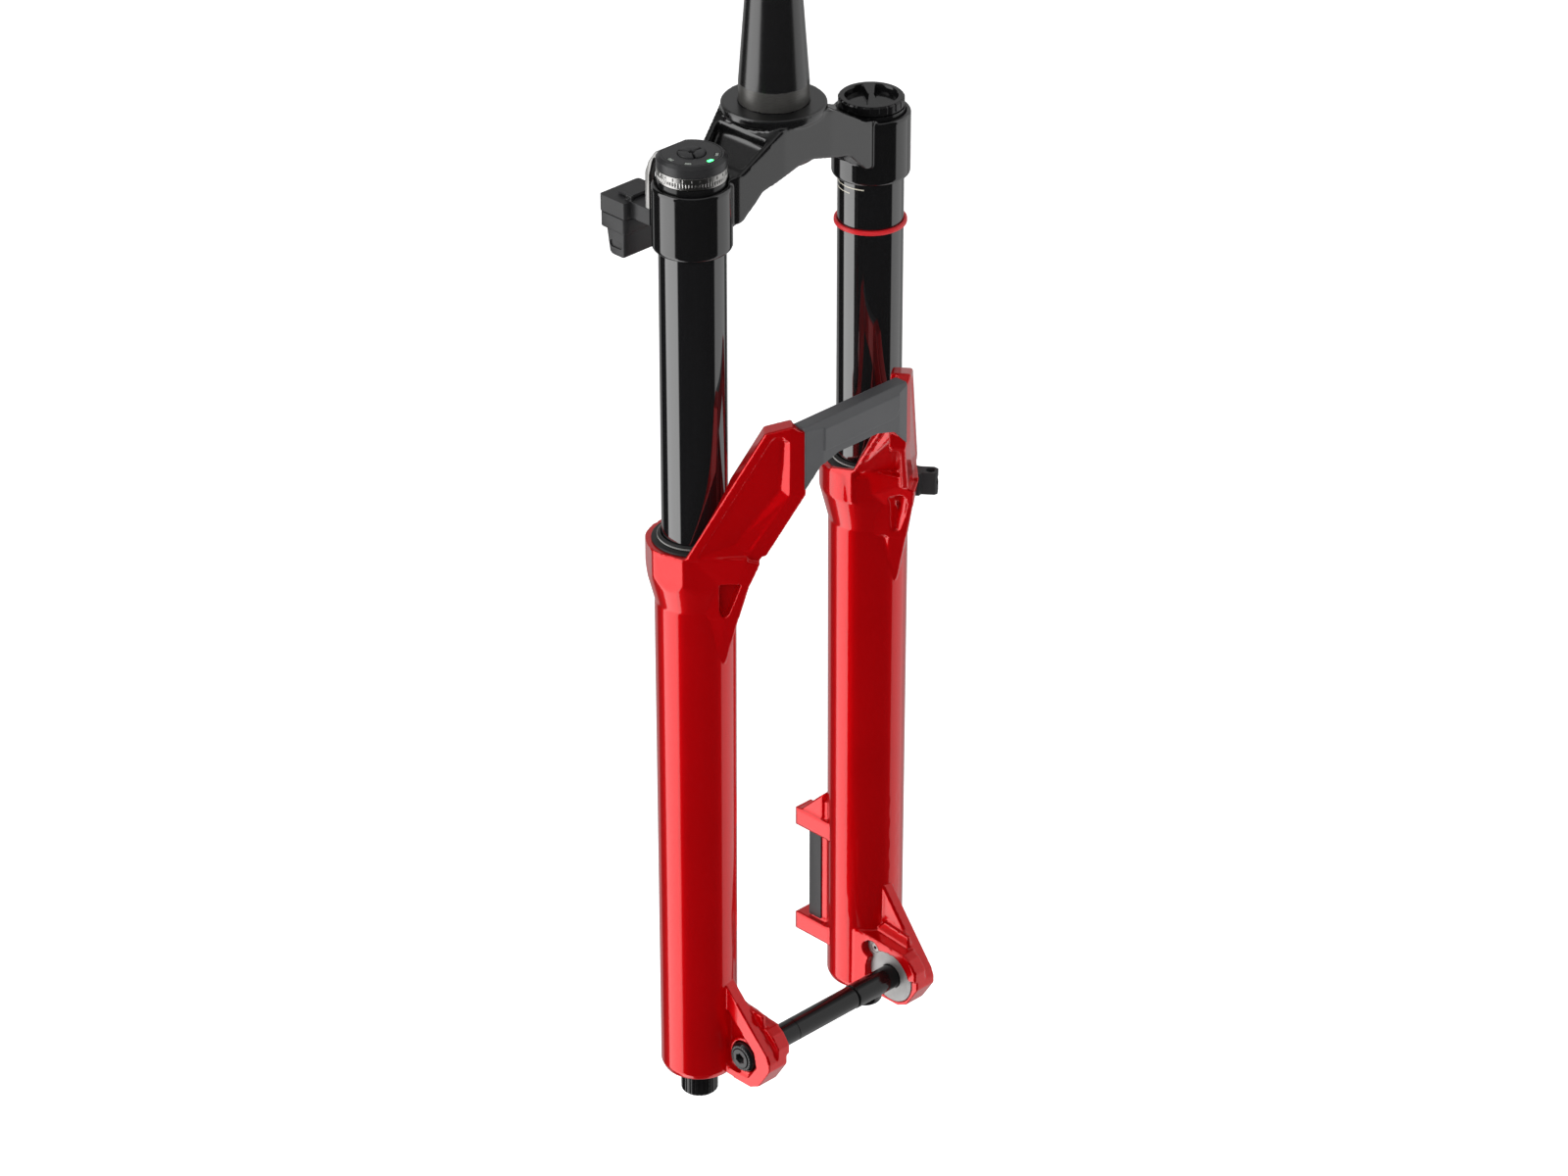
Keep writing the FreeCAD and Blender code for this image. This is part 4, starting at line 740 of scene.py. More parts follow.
def studio():
    """Soft panels round the fork, a paler top and two diffuse fills; the backdrop itself is plain."""
    world = bpy.data.worlds.new("studio")
    bpy.context.scene.world = world
    world.use_nodes = True
    light = Finish("studio", world.node_tree)
    x, y, z = light.parts(light.add("ShaderNodeTexCoord", output="Generated"))
    bearing = math.radians(SIGHT["bearing"])
    ahead = x * math.sin(bearing) - y * math.cos(bearing)
    aside = x * math.cos(bearing) + y * math.sin(bearing)
    turn = aside.math("ARCTAN2", aside, ahead) * (180 / math.pi)
    rise = z.math("ARCSINE", z) * (180 / math.pi)
    total = 0.02 + rise.above(55, 40) * 0.36
    for centre, half, low, high, strength in PANELS:
        offset = 180 - abs(turn) if centre == 180 else abs(turn - centre)
        beam = (1 - offset.above(half, 5)) * rise.above(low, 12) * (1 - rise.above(high, 12))
        total = total + beam * strength
    seen = light.add("ShaderNodeLightPath")
    background = next(node for node in world.node_tree.nodes if node.type == "BACKGROUND")
    light.feed(background.inputs["Color"], total * (1 - seen) + seen * BACKDROP)
    background.inputs["Strength"].default_value = 1.0
    for turned_by, height, power in FILLS:
        data = bpy.data.lights.new("fill", "AREA")
        data.size, data.energy = FILL_SIZE, power
        lamp = linked("fill", data)
        towards = heading(SIGHT["bearing"] + turned_by, height)
        lamp.location = Vector(SIGHT["target"]) + towards * FILL_DISTANCE
        lamp.rotation_euler = towards.to_track_quat("Z", "Y").to_euler()
        lamp.visible_glossy = False


# ---------------------------------------------------------------- crown, steerer and inner tubes

def crown():
    """The forging with soft edges; its hub flange and sockets stay true to their turned shapes."""
    piece = cast(copied("forged_crown", "crown"), 0.85, 2)
    low = span("crown")[0]
    for at in (RIGHT, LEFT):
        on_profile(piece, at, [(low + 1.8, SOCKET), (SOCKET_TOP - 1.6, SOCKET)], 0.5)
    finished(piece, CROWN, "crown")


def steerer():
    """Tapered tube with its bare race seat."""
    low, high = span("steerer_tube")
    base, top, bore = SEAT_SIZE / 2, STEERER_SIZE / 2, STEERER_BORE / 2
    finished(lathe("tapered_steerer", [
        (base - 3.4, low, 0.3), (base - 0.4, low, 0.6), (base - 0.4, SEAT_LOW), (base, SEAT_LOW, 0.2),
        (base, SEAT_HIGH, 2), (top, TAPER_END, 60), (top, high, 0.8), (bore, high, 0.5),
        (bore, TAPER_END, 20), (base - 3.4, SEAT_HIGH, 20),
    ], (0, 0, 0), turns=192), STEERER, "steerer_tube")


def stanchions():
    """The two polished inner tubes, open at both ends."""
    wall = 1.8
    for name, at, look in (("right_stanchion", RIGHT, TUBE_BLACK), ("left_stanchion", LEFT, MARKED_BLACK)):
        low, high = span(name)
        finished(lathe("polished_" + name, [
            (TUBE - wall, low, 0.4), (TUBE, low, 1.0), (TUBE, high, 0.3), (TUBE - wall, high, 0.3),
        ], (*at, 0), turns=192), look, name)


# ---------------------------------------------------------------- control module and caps

def compression_dial():
    """Bright ring: fine teeth round its rim between two plain bands, and cut scale marks."""
    low, high = span("compression_dial")
    rim, bore, teeth, scale = half_size("compression_dial"), 13.2, 72, 24

    def knurled(turn, radius, station):
        outside = radius > rim - 1
        band = step_up(station, low + 1.7, 0.5) * (1 - step_up(station, low + 3.7, 0.5)) * outside
        marks = step_up(station, high - 2.4, 0.4) * (1 - step_up(station, high - 0.8, 0.3)) * outside
        cut = 0.32 * band * (0.5 + 0.5 * np.cos(teeth * turn)) + 0.3 * marks * (np.cos(scale * turn) > 0.93)
        return radius - cut, station + 0 * turn

    finished(lathe("knurled_dial", [
        (bore, low, 0.2), (rim, low, 0.5), (rim, high, 0.5), (bore, high, 0.2),
    ], (*RIGHT, 0), turns=576, shape=knurled, step=0.45, crease=60), RING_ALLOY, "compression_dial")


def module_housing():
    """Round housing, cut flat at its rear, with a bevelled rim, window seats and the pad's round well."""
    low, high = span("module_housing")
    rim = half_size("module_housing", 1)
    flat = RIGHT[0] - span("module_housing", 0)[0]
    brim = span("compression_dial")[1] + 0.2
    well = PAD / 2 + 0.3

    def shaped(turn, radius, station):
        reach = flat / np.maximum(-np.cos(turn), 1e-3)
        edge = np.minimum(radius, reach - 0.6 * step_up(station, high - 0.5, 0.8))
        on_top = station > high - 1
        ring = step_up(radius, 12.7, 0.3) * (1 - step_up(radius, 15.3, 0.3)) * on_top
        seat = sum((1 - step_up(turn_from(turn, middle_turn), 8.2, 0.8)) * ring for middle_turn in WINDOWS)
        line = step_up(radius, 16.6, 0.15) * (1 - step_up(radius, 17.0, 0.15)) * on_top
        return edge, station - 0.8 * np.minimum(seat, 1) - 0.25 * line

    finished(lathe("module_shell", [
        (CENTRE, low), (13, low, 0.3), (13, brim, 0.2), (rim, brim, 0.4), (rim, high - 1.9, 0.6),
        (rim - 1.9, high, 0.5), (well, high, 0.35), (well, high - 3, 0.2), (CENTRE, high - 3),
    ], (*RIGHT, 0), turns=360, shape=shaped, step=0.3, crease=50), MODULE_GREY, "module_housing")


def buttons():
    """Three cushion-shaped thirds of the round pad."""
    for name, middle_turn in (("menu_button", -90), ("plus_button", 30), ("minus_button", 150)):
        low, high = span(name)
        outline = sector(1.7, PAD / 2, middle_turn, 54)
        finished(slab(name.replace("_button", "_key"), outline, (*RIGHT, low), *FLAT, high - low, 0.5),
                 MOULDED, name)


def module_windows():
    """Four small curved windows, one of them lit green."""
    level = span("module_lights")[1] - 0.9
    lenses = [slab("lens", sector(13.1, 14.9, middle_turn, 7.3, 8), (*RIGHT, level), *FLAT, 0.75, 0.12)
              for middle_turn in WINDOWS]
    counts = [len(lens.data.polygons) for lens in lenses]
    # all windows but the lit one carry the faint painted glow
    piece = finished(joined("indicator_windows", lenses), DIM_GLOW_WINDOW, "module_lights")
    piece.data.materials.append(LIT_WINDOW)
    first = sum(counts[:LIT])
    which = np.zeros(len(piece.data.polygons), np.int32)
    which[first:first + counts[LIT]] = 1
    piece.data.polygons.foreach_set("material_index", which)


def air_cap():
    """Screw cap: two scoops leave a waisted bar across it to turn it by, and its rim has grip notches."""
    low, high = span("air_cap")
    rim, turned_by = half_size("air_cap"), math.radians(BAR_TURN)

    def scooped(turn, radius, station):
        beside = np.abs(radius * np.cos(turn + turned_by))
        bar = 1.9 + 0.14 * np.abs(radius * np.sin(turn + turned_by))
        hollow = step_up(beside, bar, 1.2) * (1 - step_up(radius, rim - 4.2, 1.0)) * (station > high - 0.1)
        notch = 0.4 * (np.cos(24 * turn) > 0.86) * (radius > rim - 0.8) * step_up(station, low + 1, 0.4)
        return radius - notch, station - 3.8 * hollow

    finished(lathe("air_cap_disc", [
        (CENTRE, low), (rim, low, 0.3), (rim, high - 1, 0.3), (rim - 1, high, 0.4), (CENTRE, high),
    ], (*LEFT, 0), turns=288, shape=scooped, step=0.4, crease=45), AXLE_BLACK, "air_cap")


def bracket():
    """Bright arm: a plate on the module's flat that parts into two prongs and bends down to the cradle."""
    low, high = corner("module_bracket", 0), corner("module_bracket", 1)
    rear, width = high[0], high[1] - low[1]
    drop = low[2]
    outline = [
        (rear, high[2], 0.8), (rear - 4, high[2] - 1, 4), (rear - 9.5, high[2] - 8.5, 6),
        (low[0], high[2] - 16, 8), (low[0], drop, 0.6), (low[0] + 3.5, drop, 0.6),
        (low[0] + 3.5, high[2] - 17, 6),
        (rear - 6.7, high[2] - 8.5, 3), (rear - 5.3, high[2] - 5.1, 1.5), (rear, high[2] - 5.1, 0.6),
    ]
    arm = slab("forked_bracket", outline, (0, high[1], 0), *UPRIGHT, width, 0.5)
    gap = slab("gap", [(low[0] - 2, drop - 2), (rear - 7, drop - 2), (rear - 7, high[2] - 12, 3),
                       (rear - 10, high[2] - 6.4, 2), (low[0] - 2, high[2] - 6.4)],
               (0, (low[1] + high[1]) / 2 + 4.4, 0), *UPRIGHT, 8.8, 0.01)
    finished(carved(arm, gap), ALLOY, "module_bracket")


def cradle():
    """Charcoal receiver: soft-cornered block, its foot under the bracket and the latch's ears."""
    finished(cast(copied("battery_receiver", "battery_cradle"), 0.32, 3), CHARCOAL, "battery_cradle")


def latch():
    """Lever with a turned pin and raised grip ribs."""
    finished(cast(copied("latch_lever", "battery_latch"), 0.16, 2), MOULDED, "battery_latch")


def battery():
    """Pack with a wide shoulder, a parting line and a pill-shaped hollow in its outer side."""
    low, high = corner("battery", 0), corner("battery", 1)
    shoulder = high[2] - 9
    top = slab("pack_shoulder", oblong(low[:2], high[:2], 3), (0, 0, shoulder), *FLAT, 9, 0.7)
    lower = slab("pack_body", [
        (low[0] + 5, shoulder + 1), (low[0] + 7.5, low[2] + 1.5, 2), (low[0] + 9.5, low[2], 2),
        (high[0] - 3, low[2], 2), (high[0] - 1, low[2] + 1.5, 2), (high[0] - 1, shoulder + 1),
    ], (0, high[1] - 0.3, 0), *UPRIGHT, high[1] - low[1] - 0.6, 1.4)
    across = (low[0] + high[0]) / 2 + 2.5
    pill = slab("pill", oblong((across - 5, low[2] + 5), (across + 5, low[2] + 9.4), 2.2),
                (0, low[1] + 1.3, 0), *UPRIGHT, 3, 0.05)
    finished(joined("battery_pack", [top, carved(lower, pill)]), CHARCOAL, "battery")


# ---------------------------------------------------------------- lowers

def leg_profile():
    """Outside of a lower leg as (level, radius) pairs from foot to collar."""
    return [(LEG_FOOT + 5, LEG_LOW), (TAPER_FOOT, LEG_HIGH), (COLLAR_FOOT, COLLAR), (COLLAR_TOP, COLLAR)]


def leg_radius(level):
    """Outer radius of a lower leg at a level."""
    stations, radii = np.array(leg_profile()).T
    return float(np.interp(level, stations, radii))


def legs():
    """The long drafted tubes between the cast ends."""
    tubes = []
    for at, low in ((RIGHT, RIGHT_SEAM), (LEFT, LEFT_SEAM)):
        tubes.append(lathe("leg", [
            (LEG_BORE, low), (leg_radius(low), low), (leg_radius(ARCH_SEAM), ARCH_SEAM),
            (LEG_BORE, ARCH_SEAM),
        ], (*at, 0), turns=192))
    return joined("leg_tubes", tubes)


def foot(name, side, seam, grid, added=()):
    """A leg's foot with its dropout, from below the casting up to a seam, with soft edges and a true leg."""
    piece = copied(name, "lowers_casting")
    carved(piece, box_tool((-REACH, -REACH, LEG_FOOT - 15), (REACH, REACH, seam + 6)), "INTERSECT")
    near, far = (0, REACH) if side < 0 else (-REACH, 0)
    carved(piece, box_tool((-REACH, near, -3 * REACH), (REACH, far, REACH)))
    for body in added:
        carved(piece, body, "UNION")
    cast(piece, grid, 2)
    for at in (RIGHT, LEFT):
        on_profile(piece, at, leg_profile(), 0.6)
    return sliced(piece, seam, False)


def post_gusset():
    """Web that runs from the upper brake post's root up the back of the left leg."""
    strip_low, strip_high = corner("post_strip", 0), corner("post_strip", 1)
    root, rear, top = LEFT[0] - LEG_HIGH + 6, strip_low[0] - 6, strip_high[2] + 12.5
    return hull("gusset", [(x, y, z) for y in (strip_low[1] - 1.5, strip_high[1] + 8)
                           for x, z in ((root, top - 8), (root, top + 18), (rear, top), (rear, top - 8))])


def hull(name, points):
    """The smallest convex solid round some corners."""
    shell = bmesh.new()
    for point in points:
        shell.verts.new(Vector(point) * MM)
    done = bmesh.ops.convex_hull(shell, input=shell.verts)
    loose = [item for item in done["geom_unused"] + done["geom_interior"]
             if isinstance(item, bmesh.types.BMVert)]
    bmesh.ops.delete(shell, geom=list(set(loose)), context="VERTS")
    piece = linked(name, mesh_of(shell, name))
    tidy_normals(piece)
    return piece


def other_side(piece):
    """A mirror image of the piece on the fork's left."""
    mesh = piece.data.copy()
    mesh.transform(Matrix.Diagonal((1, -1, 1, 1)))
    twin = linked(piece.name + "_left", mesh)
    tidy_normals(twin)
    return twin


# level directions along the right arm from the bridge, and outwards from its face
ALONG = (-math.cos(ARM_ANGLE), -math.sin(ARM_ANGLE), 0)
AWAY = (math.sin(ARM_ANGLE), -math.cos(ARM_ANGLE), 0)


def on_arm(run, out, level):
    """A place on the right arm: along it from the bridge, outwards from its face, and a height."""
    return (ARCH_FRONT + run * ALONG[0] + out * AWAY[0], -ARCH_HALF + run * ALONG[1] + out * AWAY[1], level)


def arm_tool(outline, face, depth, soft=0.05):
    """Cutter pushed into the right arm from so far out; its outline is (run, level, corner radius)."""
    return slab("arm_tool", outline, on_arm(0, face, 0), ALONG, (0, 0, 1), depth, soft)


def label_panel():
    """The hollow of the arm's outer face: deep along its front, running out to nothing at its rear edge."""
    rim = [(62.1, -245.0), (32.9, -244.6), (9.1, -208.0), (8.5, -173.6), (11.9, -170.5), (19.5, -170.8)]
    base = [(61.5, -243.6), (39.4, -237.5), (14.6, -204.4), (12.9, -175), (14.7, -172.6), (19.5, -172)]
    depths = [0.6, 3.6, 4.2, 3.4, 1.8, 0.8]
    mouth = [on_arm(run, 0.02, level) for run, level in rim]
    above = [on_arm(run, 3, level) for run, level in rim]
    bottom = [on_arm(run, -depth, level) for (run, level), depth in zip(base, depths)]
    points = np.array(above + mouth + bottom)
    count = len(rim)
    faces = grid_faces(3, count, ring=False) + [list(range(count))[::-1], list(range(2 * count, 3 * count))]
    return mesh_piece("label_panel", points, faces)


def arm_bodies():
    """What carries the right arm: a faceted block before the collar, the fin below it and the inner wall."""
    block = hull("block", [
        (19.5, -46, -240), (41, -58, -240), (54.5, -60, -241), (48, -70, -244.5), (26, -90, -245.4),
        (18.5, -47, -262), (38.5, -60, -262), (47.5, -65.5, -263), (42, -72, -263), (23, -88, -262),
        (12, -66, -250)])
    taper = hull("block_foot", [
        (18.5, -47, -261.5), (38.5, -60, -261.5), (47.5, -65.5, -261.5), (42, -72, -261.5), (23, -88, -261.5),
        (17, -49.5, -284), (32.5, -61, -286), (40.5, -67.5, -286), (36, -74, -286), (24, -84, -286),
        (12, -66, -262)])
    fin = hull("fin", [
        (32.5, -61, -285), (40.5, -67.5, -285), (36, -74, -285), (24, -83, -285), (18, -60, -285),
        (26, -66, -318), (31.5, -69.5, -318), (28, -75, -318), (20, -70, -318)])
    inner = hull("inner_wall", [
        (3, -41.4, -262), (20.5, -43.5, -262), (20.5, -47, -262), (3, -46, -262),
        (3, -41.4, -244), (20.5, -43, -240), (20.5, -47, -240), (3, -46, -244)])
    rising = hull("rising_wall", [
        (18, -43.2, -244.5), (18, -46.5, -244.5), (21.5, -43.5, -242), (47, -40, -199), (47, -44, -199),
        (47, -40, -193), (47, -44, -193), (60, -37, -185), (60, -42, -185)])
    valley = [(39, -61, -241), (60, -43.5, -201)]
    near = hull("cove_by_the_wall", valley + [
        (21.5, -44.5, -241.2), (47, -41, -199), (60, -40.5, -196), (26, -60, -241), on_arm(40, -7, -238),
        on_arm(10, -6, -204)])
    front = hull("cove_by_the_front", valley + [
        (66.3, -42.9, -207), (54.5, -60.5, -241.2), on_arm(3, -3, -206), on_arm(25, -3, -241),
        on_arm(42, -5, -240)])
    return [block, taper, fin, inner, rising, near, front]


def faceted(side):
    """Gives a collar its flats, the widest to the front and outside."""
    def flattened(turn, radius, station):
        for middle_turn in (-78, -36, -122):
            away = np.radians(turn_from(turn, -side * middle_turn))
            depth = COLLAR - 1.7 + 0.06 * np.maximum(COLLAR_FOOT - station, 0)
            flat = depth / np.maximum(np.cos(away), 0.3)
            radius = np.where((radius > 24) & (station > TAPER_FOOT - 6), np.minimum(radius, flat), radius)
        return radius, station + 0 * turn
    return flattened


def arm_strips():
    """Wedges that turn the arm's front edge away, beside the label hollow and below it."""
    places = {"strip": [(9.3, 0.03, -150), (-4, -3.2, -150), (-4, 3, -150), (9.3, 3, -150),
                        (9.3, 0.03, -207.6), (-4, -3.2, -209), (-4, 3, -209), (9.3, 3, -207.6)],
              "lower_strip": [(9.3, 0.03, -207), (-4, -3.2, -207), (-4, 3, -207), (9.3, 3, -207),
                              (34, 0.03, -246), (19, -3.2, -252), (19, 3, -252), (34, 3, -246)]}
    return [hull(name, [on_arm(*place) for place in corners]) for name, corners in places.items()]


def relief_hole():
    """Round hole behind the collar that the right relief button closes."""
    low, high = corner("right_relief_button", 0), corner("right_relief_button", 1)
    hole = (high - low)[2] / 2 + 0.3
    return lathe("relief_hole", [(CENTRE, -2), (hole, -2), (hole, 8), (CENTRE, 8)],
                 (low[0], *middle("right_relief_button")[1:]), axis=(1, 0, 0), turns=64)


def arch_cutters():
    """What is cut from the arch's right side: hollows, pockets and the room for the tube and its seal."""
    clear, under, over = 25.5, -340, -150
    return arm_strips() + [
        label_panel(), relief_hole(),
        arm_tool([(36.5, -262, 1), (49, -263, 1), (49, -281, 2), (46.8, -287, 3), (43.5, -283, 2)], 2, 12),
        slab("inner_pocket", [(36.5, -257, 2), (46, -253, 2), (41, -280, 2.5), (34, -283, 2)], (0, -50, 0),
             *UPRIGHT, 14.5, 0.05),
        lathe("tube_room", [
            (CENTRE, COLLAR_TOP), (clear, COLLAR_TOP), (clear, over), (CENTRE, over),
        ], (*RIGHT, 0)),
        lathe("collar_room", [
            (CENTRE, under), (LEG_BORE, under), (LEG_BORE, FOAM_STEP), (FOAM_ROOM, FOAM_STEP),
            (FOAM_ROOM, SEAL_SHELF), (SEAL_ROOM, SEAL_SHELF), (SEAL_ROOM, COLLAR_TOP + 1),
            (CENTRE, COLLAR_TOP + 1),
        ], (*RIGHT, 0))]


def arch_and_collars():
    """Arch, collars and the tops of the legs as one shell."""
    piece = copied("arch_and_collars", "lowers_casting")
    carved(piece, box_tool((-REACH, -REACH, COLLAR_TOP - 0.4), (REACH, REACH, 0)), "INTERSECT")
    behind = arm_tool([(3, -201, 2), (14, -201), (50, -252), (3, -252)], -6.5, 20)
    carved(piece, other_side(behind))
    carved(piece, behind)
    added = arm_bodies()
    added += [other_side(body) for body in added]
    hem = ARCH_SEAM - 6
    for at in (RIGHT, LEFT):
        added.append(lathe("collar", [
            (LEG_BORE, hem), (leg_radius(hem), hem), (LEG_HIGH, TAPER_FOOT), (COLLAR, COLLAR_FOOT),
            (COLLAR, COLLAR_TOP), (FOAM_ROOM, COLLAR_TOP), (FOAM_ROOM, FOAM_STEP), (LEG_BORE, FOAM_STEP),
        ], (*at, 0), turns=180, shape=faceted(at[1] / abs(at[1])), step=2))
    piece = joined("arch_and_collars", [piece] + added)
    grown = piece.modifiers.new("one_shell", "REMESH")
    grown.mode, grown.voxel_size, grown.adaptivity = "VOXEL", 0.9 * MM, 0
    settled(piece)
    for cutter in arch_cutters():
        carved(piece, other_side(cutter))
        carved(piece, cutter)
    cast(piece, 0.74, 1)
    for at in (RIGHT, LEFT):
        on_profile(piece, at, leg_profile()[:2], 0.35)
    return halves(sliced(piece, ARCH_SEAM, True))


def halves(piece):
    """The two sides of a shell that spans the fork, parted and closed on its middle plane."""
    result = []
    for side, name in ((-1, "right_half"), (1, "left_half")):
        shell = bmesh.new()
        shell.from_mesh(piece.data)
        cut = bmesh.ops.bisect_plane(shell, geom=list(shell.verts) + list(shell.edges) + list(shell.faces),
                                     plane_co=(0, 0, 0), plane_no=(0, side, 0), clear_inner=True)
        rim = [item for item in cut["geom_cut"] if isinstance(item, bmesh.types.BMEdge)]
        bmesh.ops.holes_fill(shell, edges=rim, sides=0)
        mesh = mesh_of(shell, name)
        mesh.shade_smooth()
        mesh.set_sharp_from_angle(angle=math.radians(SHELL_CREASE))
        result.append(linked("arch_" + name, mesh))
    bpy.data.objects.remove(piece)
    return result


def lowers():
    """Casting in five pieces of one finish: arch with collars, two legs and two feet with their dropouts."""
    for half in arch_and_collars():
        finished(half, RED, "lowers_casting")
    finished(legs(), RED, "lowers_casting")
    finished(foot("right_foot", -1, RIGHT_SEAM, 0.7), RED, "lowers_casting")
    finished(foot("left_foot", 1, LEFT_SEAM, 0.8, [post_gusset()]), RED, "lowers_casting")


def arch_cover():
    """Cap with a front that breaks along a crease, a turned left third and a bevelled far end."""
    piece = copied("arch_cap", "arch_cover")
    front = ARCH_FRONT + 0.6
    crease = [(-43, -174.5), (-27, -184), (30, -184), (37, -171.5), (43, -166), (43, -230), (-43, -230)]
    carved(piece, slab("crease", crease, (front - 0.75, 0, 0), (0, 1, 0), (0, 0, 1), 4, 0.05))
    for here, there, deep in ((-27, -45, 1.7), (33, 45, 2.4)):
        carved(piece, hull("end_face", [(x, y, z) for z in (-150, -235) for x, y in (
            (front - 0.7, here), (front + 3, here), (front + 3, there), (front - 0.7 - deep, there))]))
    finished(cast(piece, 0.36, 1), GREY, "arch_cover")


def seals():
    """Wiper seals with their shoulder and lip, and the fine coil springs that hold the lips."""
    base, lip = span("wiper_seals")
    outer, groove = SEAL / 2, TUBE + 1.75
    coil, coil_level, wire = TUBE + 2.25, COLLAR_TOP + 2.6, 0.55
    rings, springs = [], []
    for at in (RIGHT, LEFT):
        rings.append(lathe("wiper", [
            (TUBE + 1.5, base, 0.3), (outer, base, 0.3), (outer, COLLAR_TOP), (outer + 0.9, COLLAR_TOP, 0.3),
            (outer + 0.7, COLLAR_TOP + 1.3, 0.5), (TUBE + 3.1, COLLAR_TOP + 1.5, 0.6),
            (groove, COLLAR_TOP + 2.0, 0.2), (groove, COLLAR_TOP + 3.2, 0.2),
            (TUBE + 1.9, COLLAR_TOP + 3.6, 0.3), (TUBE + 0.5, lip, 0.2),
            (TUBE + 0.35, COLLAR_TOP + 3.6), (TUBE + 1.5, COLLAR_TOP - 1, 0.3),
        ], (*at, 0), turns=160))
        circle = [(coil + wire * math.cos(a), coil_level + wire * math.sin(a))
                  for a in np.radians(np.arange(0, 360, 45))]

        def coiled(turn, radius, station):
            around = np.arctan2(station - coil_level, radius - coil)
            swell = 1 + 0.18 * np.cos(110 * turn - around)
            return coil + (radius - coil) * swell, coil_level + (station - coil_level) * swell

        springs.append(lathe("spring", circle, (*at, 0), turns=880, shape=coiled, crease=80))
    finished(joined("wiper_rings", rings), RUBBER, "wiper_seals")
    finished(joined("garter_springs", springs), STEEL, "seal_springs")


def sag_ring():
    """The rubber ring that shows how far the fork has sunk."""
    low, high = span("sag_ring")
    inner, outer = TUBE + 0.1, TUBE + 2
    finished(lathe("sag_band", [(inner, low, 0.5), (outer, low, 1.0), (outer, high, 1.0), (inner, high, 0.5)],
                   (*LEFT, 0), turns=160), RED_RUBBER, "sag_ring")


AXLE_LINE = (AXLE[0], 0, AXLE[1])


def axle():
    """Through axle: hex socket, a narrow stretch by the head, a scribed body, a groove and the thread."""
    low, high = span("axle", 1)
    shank, stem, waist, neck = AXLE_SIZE / 2 - 0.05, AXLE_SIZE / 2 - 0.4, AXLE_SIZE / 2 - 1.0, 6.4
    inner = -HUB_FACE

    def threaded(turn, radius, station):
        there = step_up(station, high - 14, 0.5) * (1 - step_up(station, high - 1.6, 0.5)) * (radius > waist)
        groove = 0.5 + 0.5 * np.cos(2 * math.pi * station / 1.5 - turn)
        return radius - 0.35 * there * groove, station + 0 * turn

    blank = lathe("through_axle", [
        (CENTRE, low), (6, low, 0.3), (neck, low + 1, 0.3), (neck, inner - 8.5), (shank, inner - 8.5, 0.2),
        (shank, inner, 0.2), (waist, inner + 0.6, 0.2), (waist, inner + 10, 0.2), (stem, inner + 10.6, 0.2),
        (stem, inner + 26), (stem - 0.3, inner + 26), (stem - 0.3, inner + 26.5), (stem, inner + 26.5),
        (stem, inner + 75.6), (stem - 0.6, inner + 75.6), (stem - 0.6, inner + 76.8),
        (shank, inner + 76.8, 0.2), (shank, high - 1, 0.2), (shank - 1, high, 0.3), (CENTRE, high),
    ], AXLE_LINE, axis=(0, 1, 0), turns=96, shape=threaded, step=0.9)
    six = [(3.46 * math.cos(a), 3.46 * math.sin(a)) for a in np.radians(np.arange(30, 390, 60))]
    socket = slab("hexagon", six, (AXLE[0], low + 8, AXLE[1]), *UPRIGHT, 12, 0.01)
    finished(carved(blank, socket), AXLE_BLACK, "axle")


def axle_washer():
    """Conical washer with fine grip notches on its slope."""
    low, high = span("axle_washer", 1)
    rim, bore = half_size("axle_washer"), 6.5

    def notched(turn, radius, station):
        slope = (station < low + 1.7) & (radius > 7.4)
        return radius, station + 0.3 * slope * (np.cos(26 * turn) > 0.72)

    finished(lathe("cone_washer", [
        (bore, low, 0.2), (7.9, low, 0.3), (rim - 0.3, low + 1.6, 0.3), (rim, high, 0.2), (bore, high, 0.2),
    ], AXLE_LINE, axis=(0, 1, 0), turns=416, shape=notched, step=0.3), AXLE_BLACK, "axle_washer")


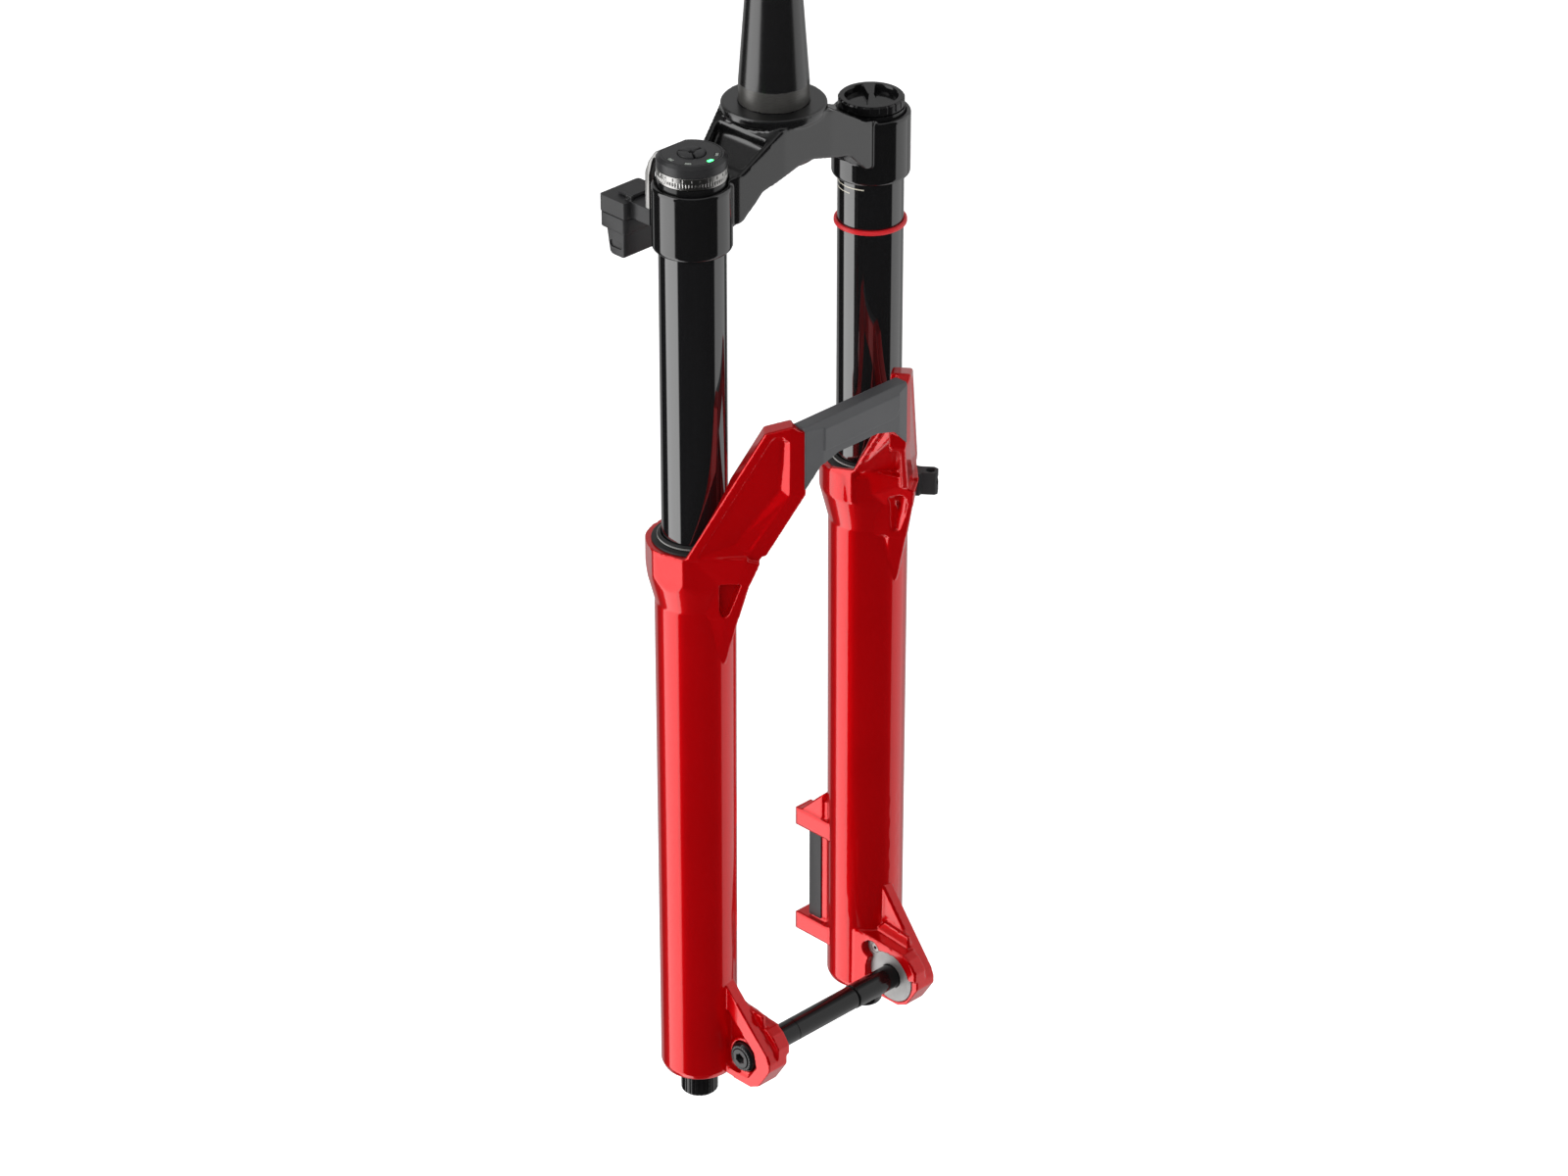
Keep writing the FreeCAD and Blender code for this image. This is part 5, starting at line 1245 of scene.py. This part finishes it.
def rebound_knob():
    """Fluted knob under the right leg."""
    low, high = span("rebound_knob")
    rim, bore, flutes = half_size("rebound_knob"), 8.3, 24

    def fluted(turn, radius, station):
        cut = np.clip(np.cos(flutes * turn) * 1.6 - 0.6, 0, 1) * 0.6
        outside = (radius > rim - 2.4) * (1 - step_up(station, high - 2.6, 0.8))
        return radius - cut * outside, station + 0 * turn

    finished(lathe("fluted_knob", [
        (CENTRE, low), (rim - 2, low, 0.8), (rim, low + 1.8, 0.8), (rim, high, 0.5), (bore, high, 0.3),
        (bore, high - 4, 0.3), (CENTRE, high - 4),
    ], (*RIGHT, 0), turns=384, shape=fluted, step=0.6, crease=50), AXLE_BLACK, "rebound_knob")


def foot_cap():
    """Plain round cap under the left leg."""
    low, high = span("left_foot_cap")
    rim, bore = half_size("left_foot_cap"), 8.1
    finished(lathe("foot_cover", [
        (CENTRE, low), (rim, low, 2), (rim, high, 0.5), (bore, high, 0.3), (bore, high - 4, 0.3),
        (CENTRE, high - 4),
    ], (*LEFT, 0), turns=128), AXLE_BLACK, "left_foot_cap")


def insert():
    """Bright insert that the axle screws into."""
    finished(cast(copied("axle_insert", "dropout_insert"), 0.4, 2), INSERT_STEEL, "dropout_insert")


def hose_clip():
    """Moulded clip that guides the brake hose."""
    finished(cast(copied("hose_clip", "hose_guide"), 0.25, 2), MOULDED, "hose_guide")


def post_strip():
    """Dark strip between the brake posts, with soft ends."""
    low, high = corner("post_strip", 0), corner("post_strip", 1)
    outline = oblong((low[0], low[2]), (high[0], high[2]), 1)
    finished(slab("brake_strip", outline, (0, high[1], 0), *UPRIGHT, high[1] - low[1], 0.25),
             MOULDED, "post_strip")


def relief_buttons():
    """Round caps at the back of the collars that let out trapped air."""
    for side in ("right", "left"):
        name = side + "_relief_button"
        deep, rim = 2 * half_size(name), half_size(name, 2)
        finished(lathe(side + "_relief_cap", [
            (CENTRE, 0), (rim - 0.4, 0, 0.8), (rim, 0.9, 0.4), (rim, deep, 0.2), (CENTRE, deep),
        ], (corner(name, 0)[0], *middle(name)[1:]), axis=(1, 0, 0), turns=64), AXLE_BLACK, name)


carried_over()
camera()
floor()
studio()
for make in (crown, steerer, stanchions, compression_dial, module_housing, buttons, module_windows, air_cap,
             bracket, cradle, latch, battery, lowers, arch_cover, seals, sag_ring, axle, axle_washer,
             rebound_knob, foot_cap, insert, hose_clip, post_strip, relief_buttons):
    make()
bpy.context.scene.view_settings.view_transform = "Standard"
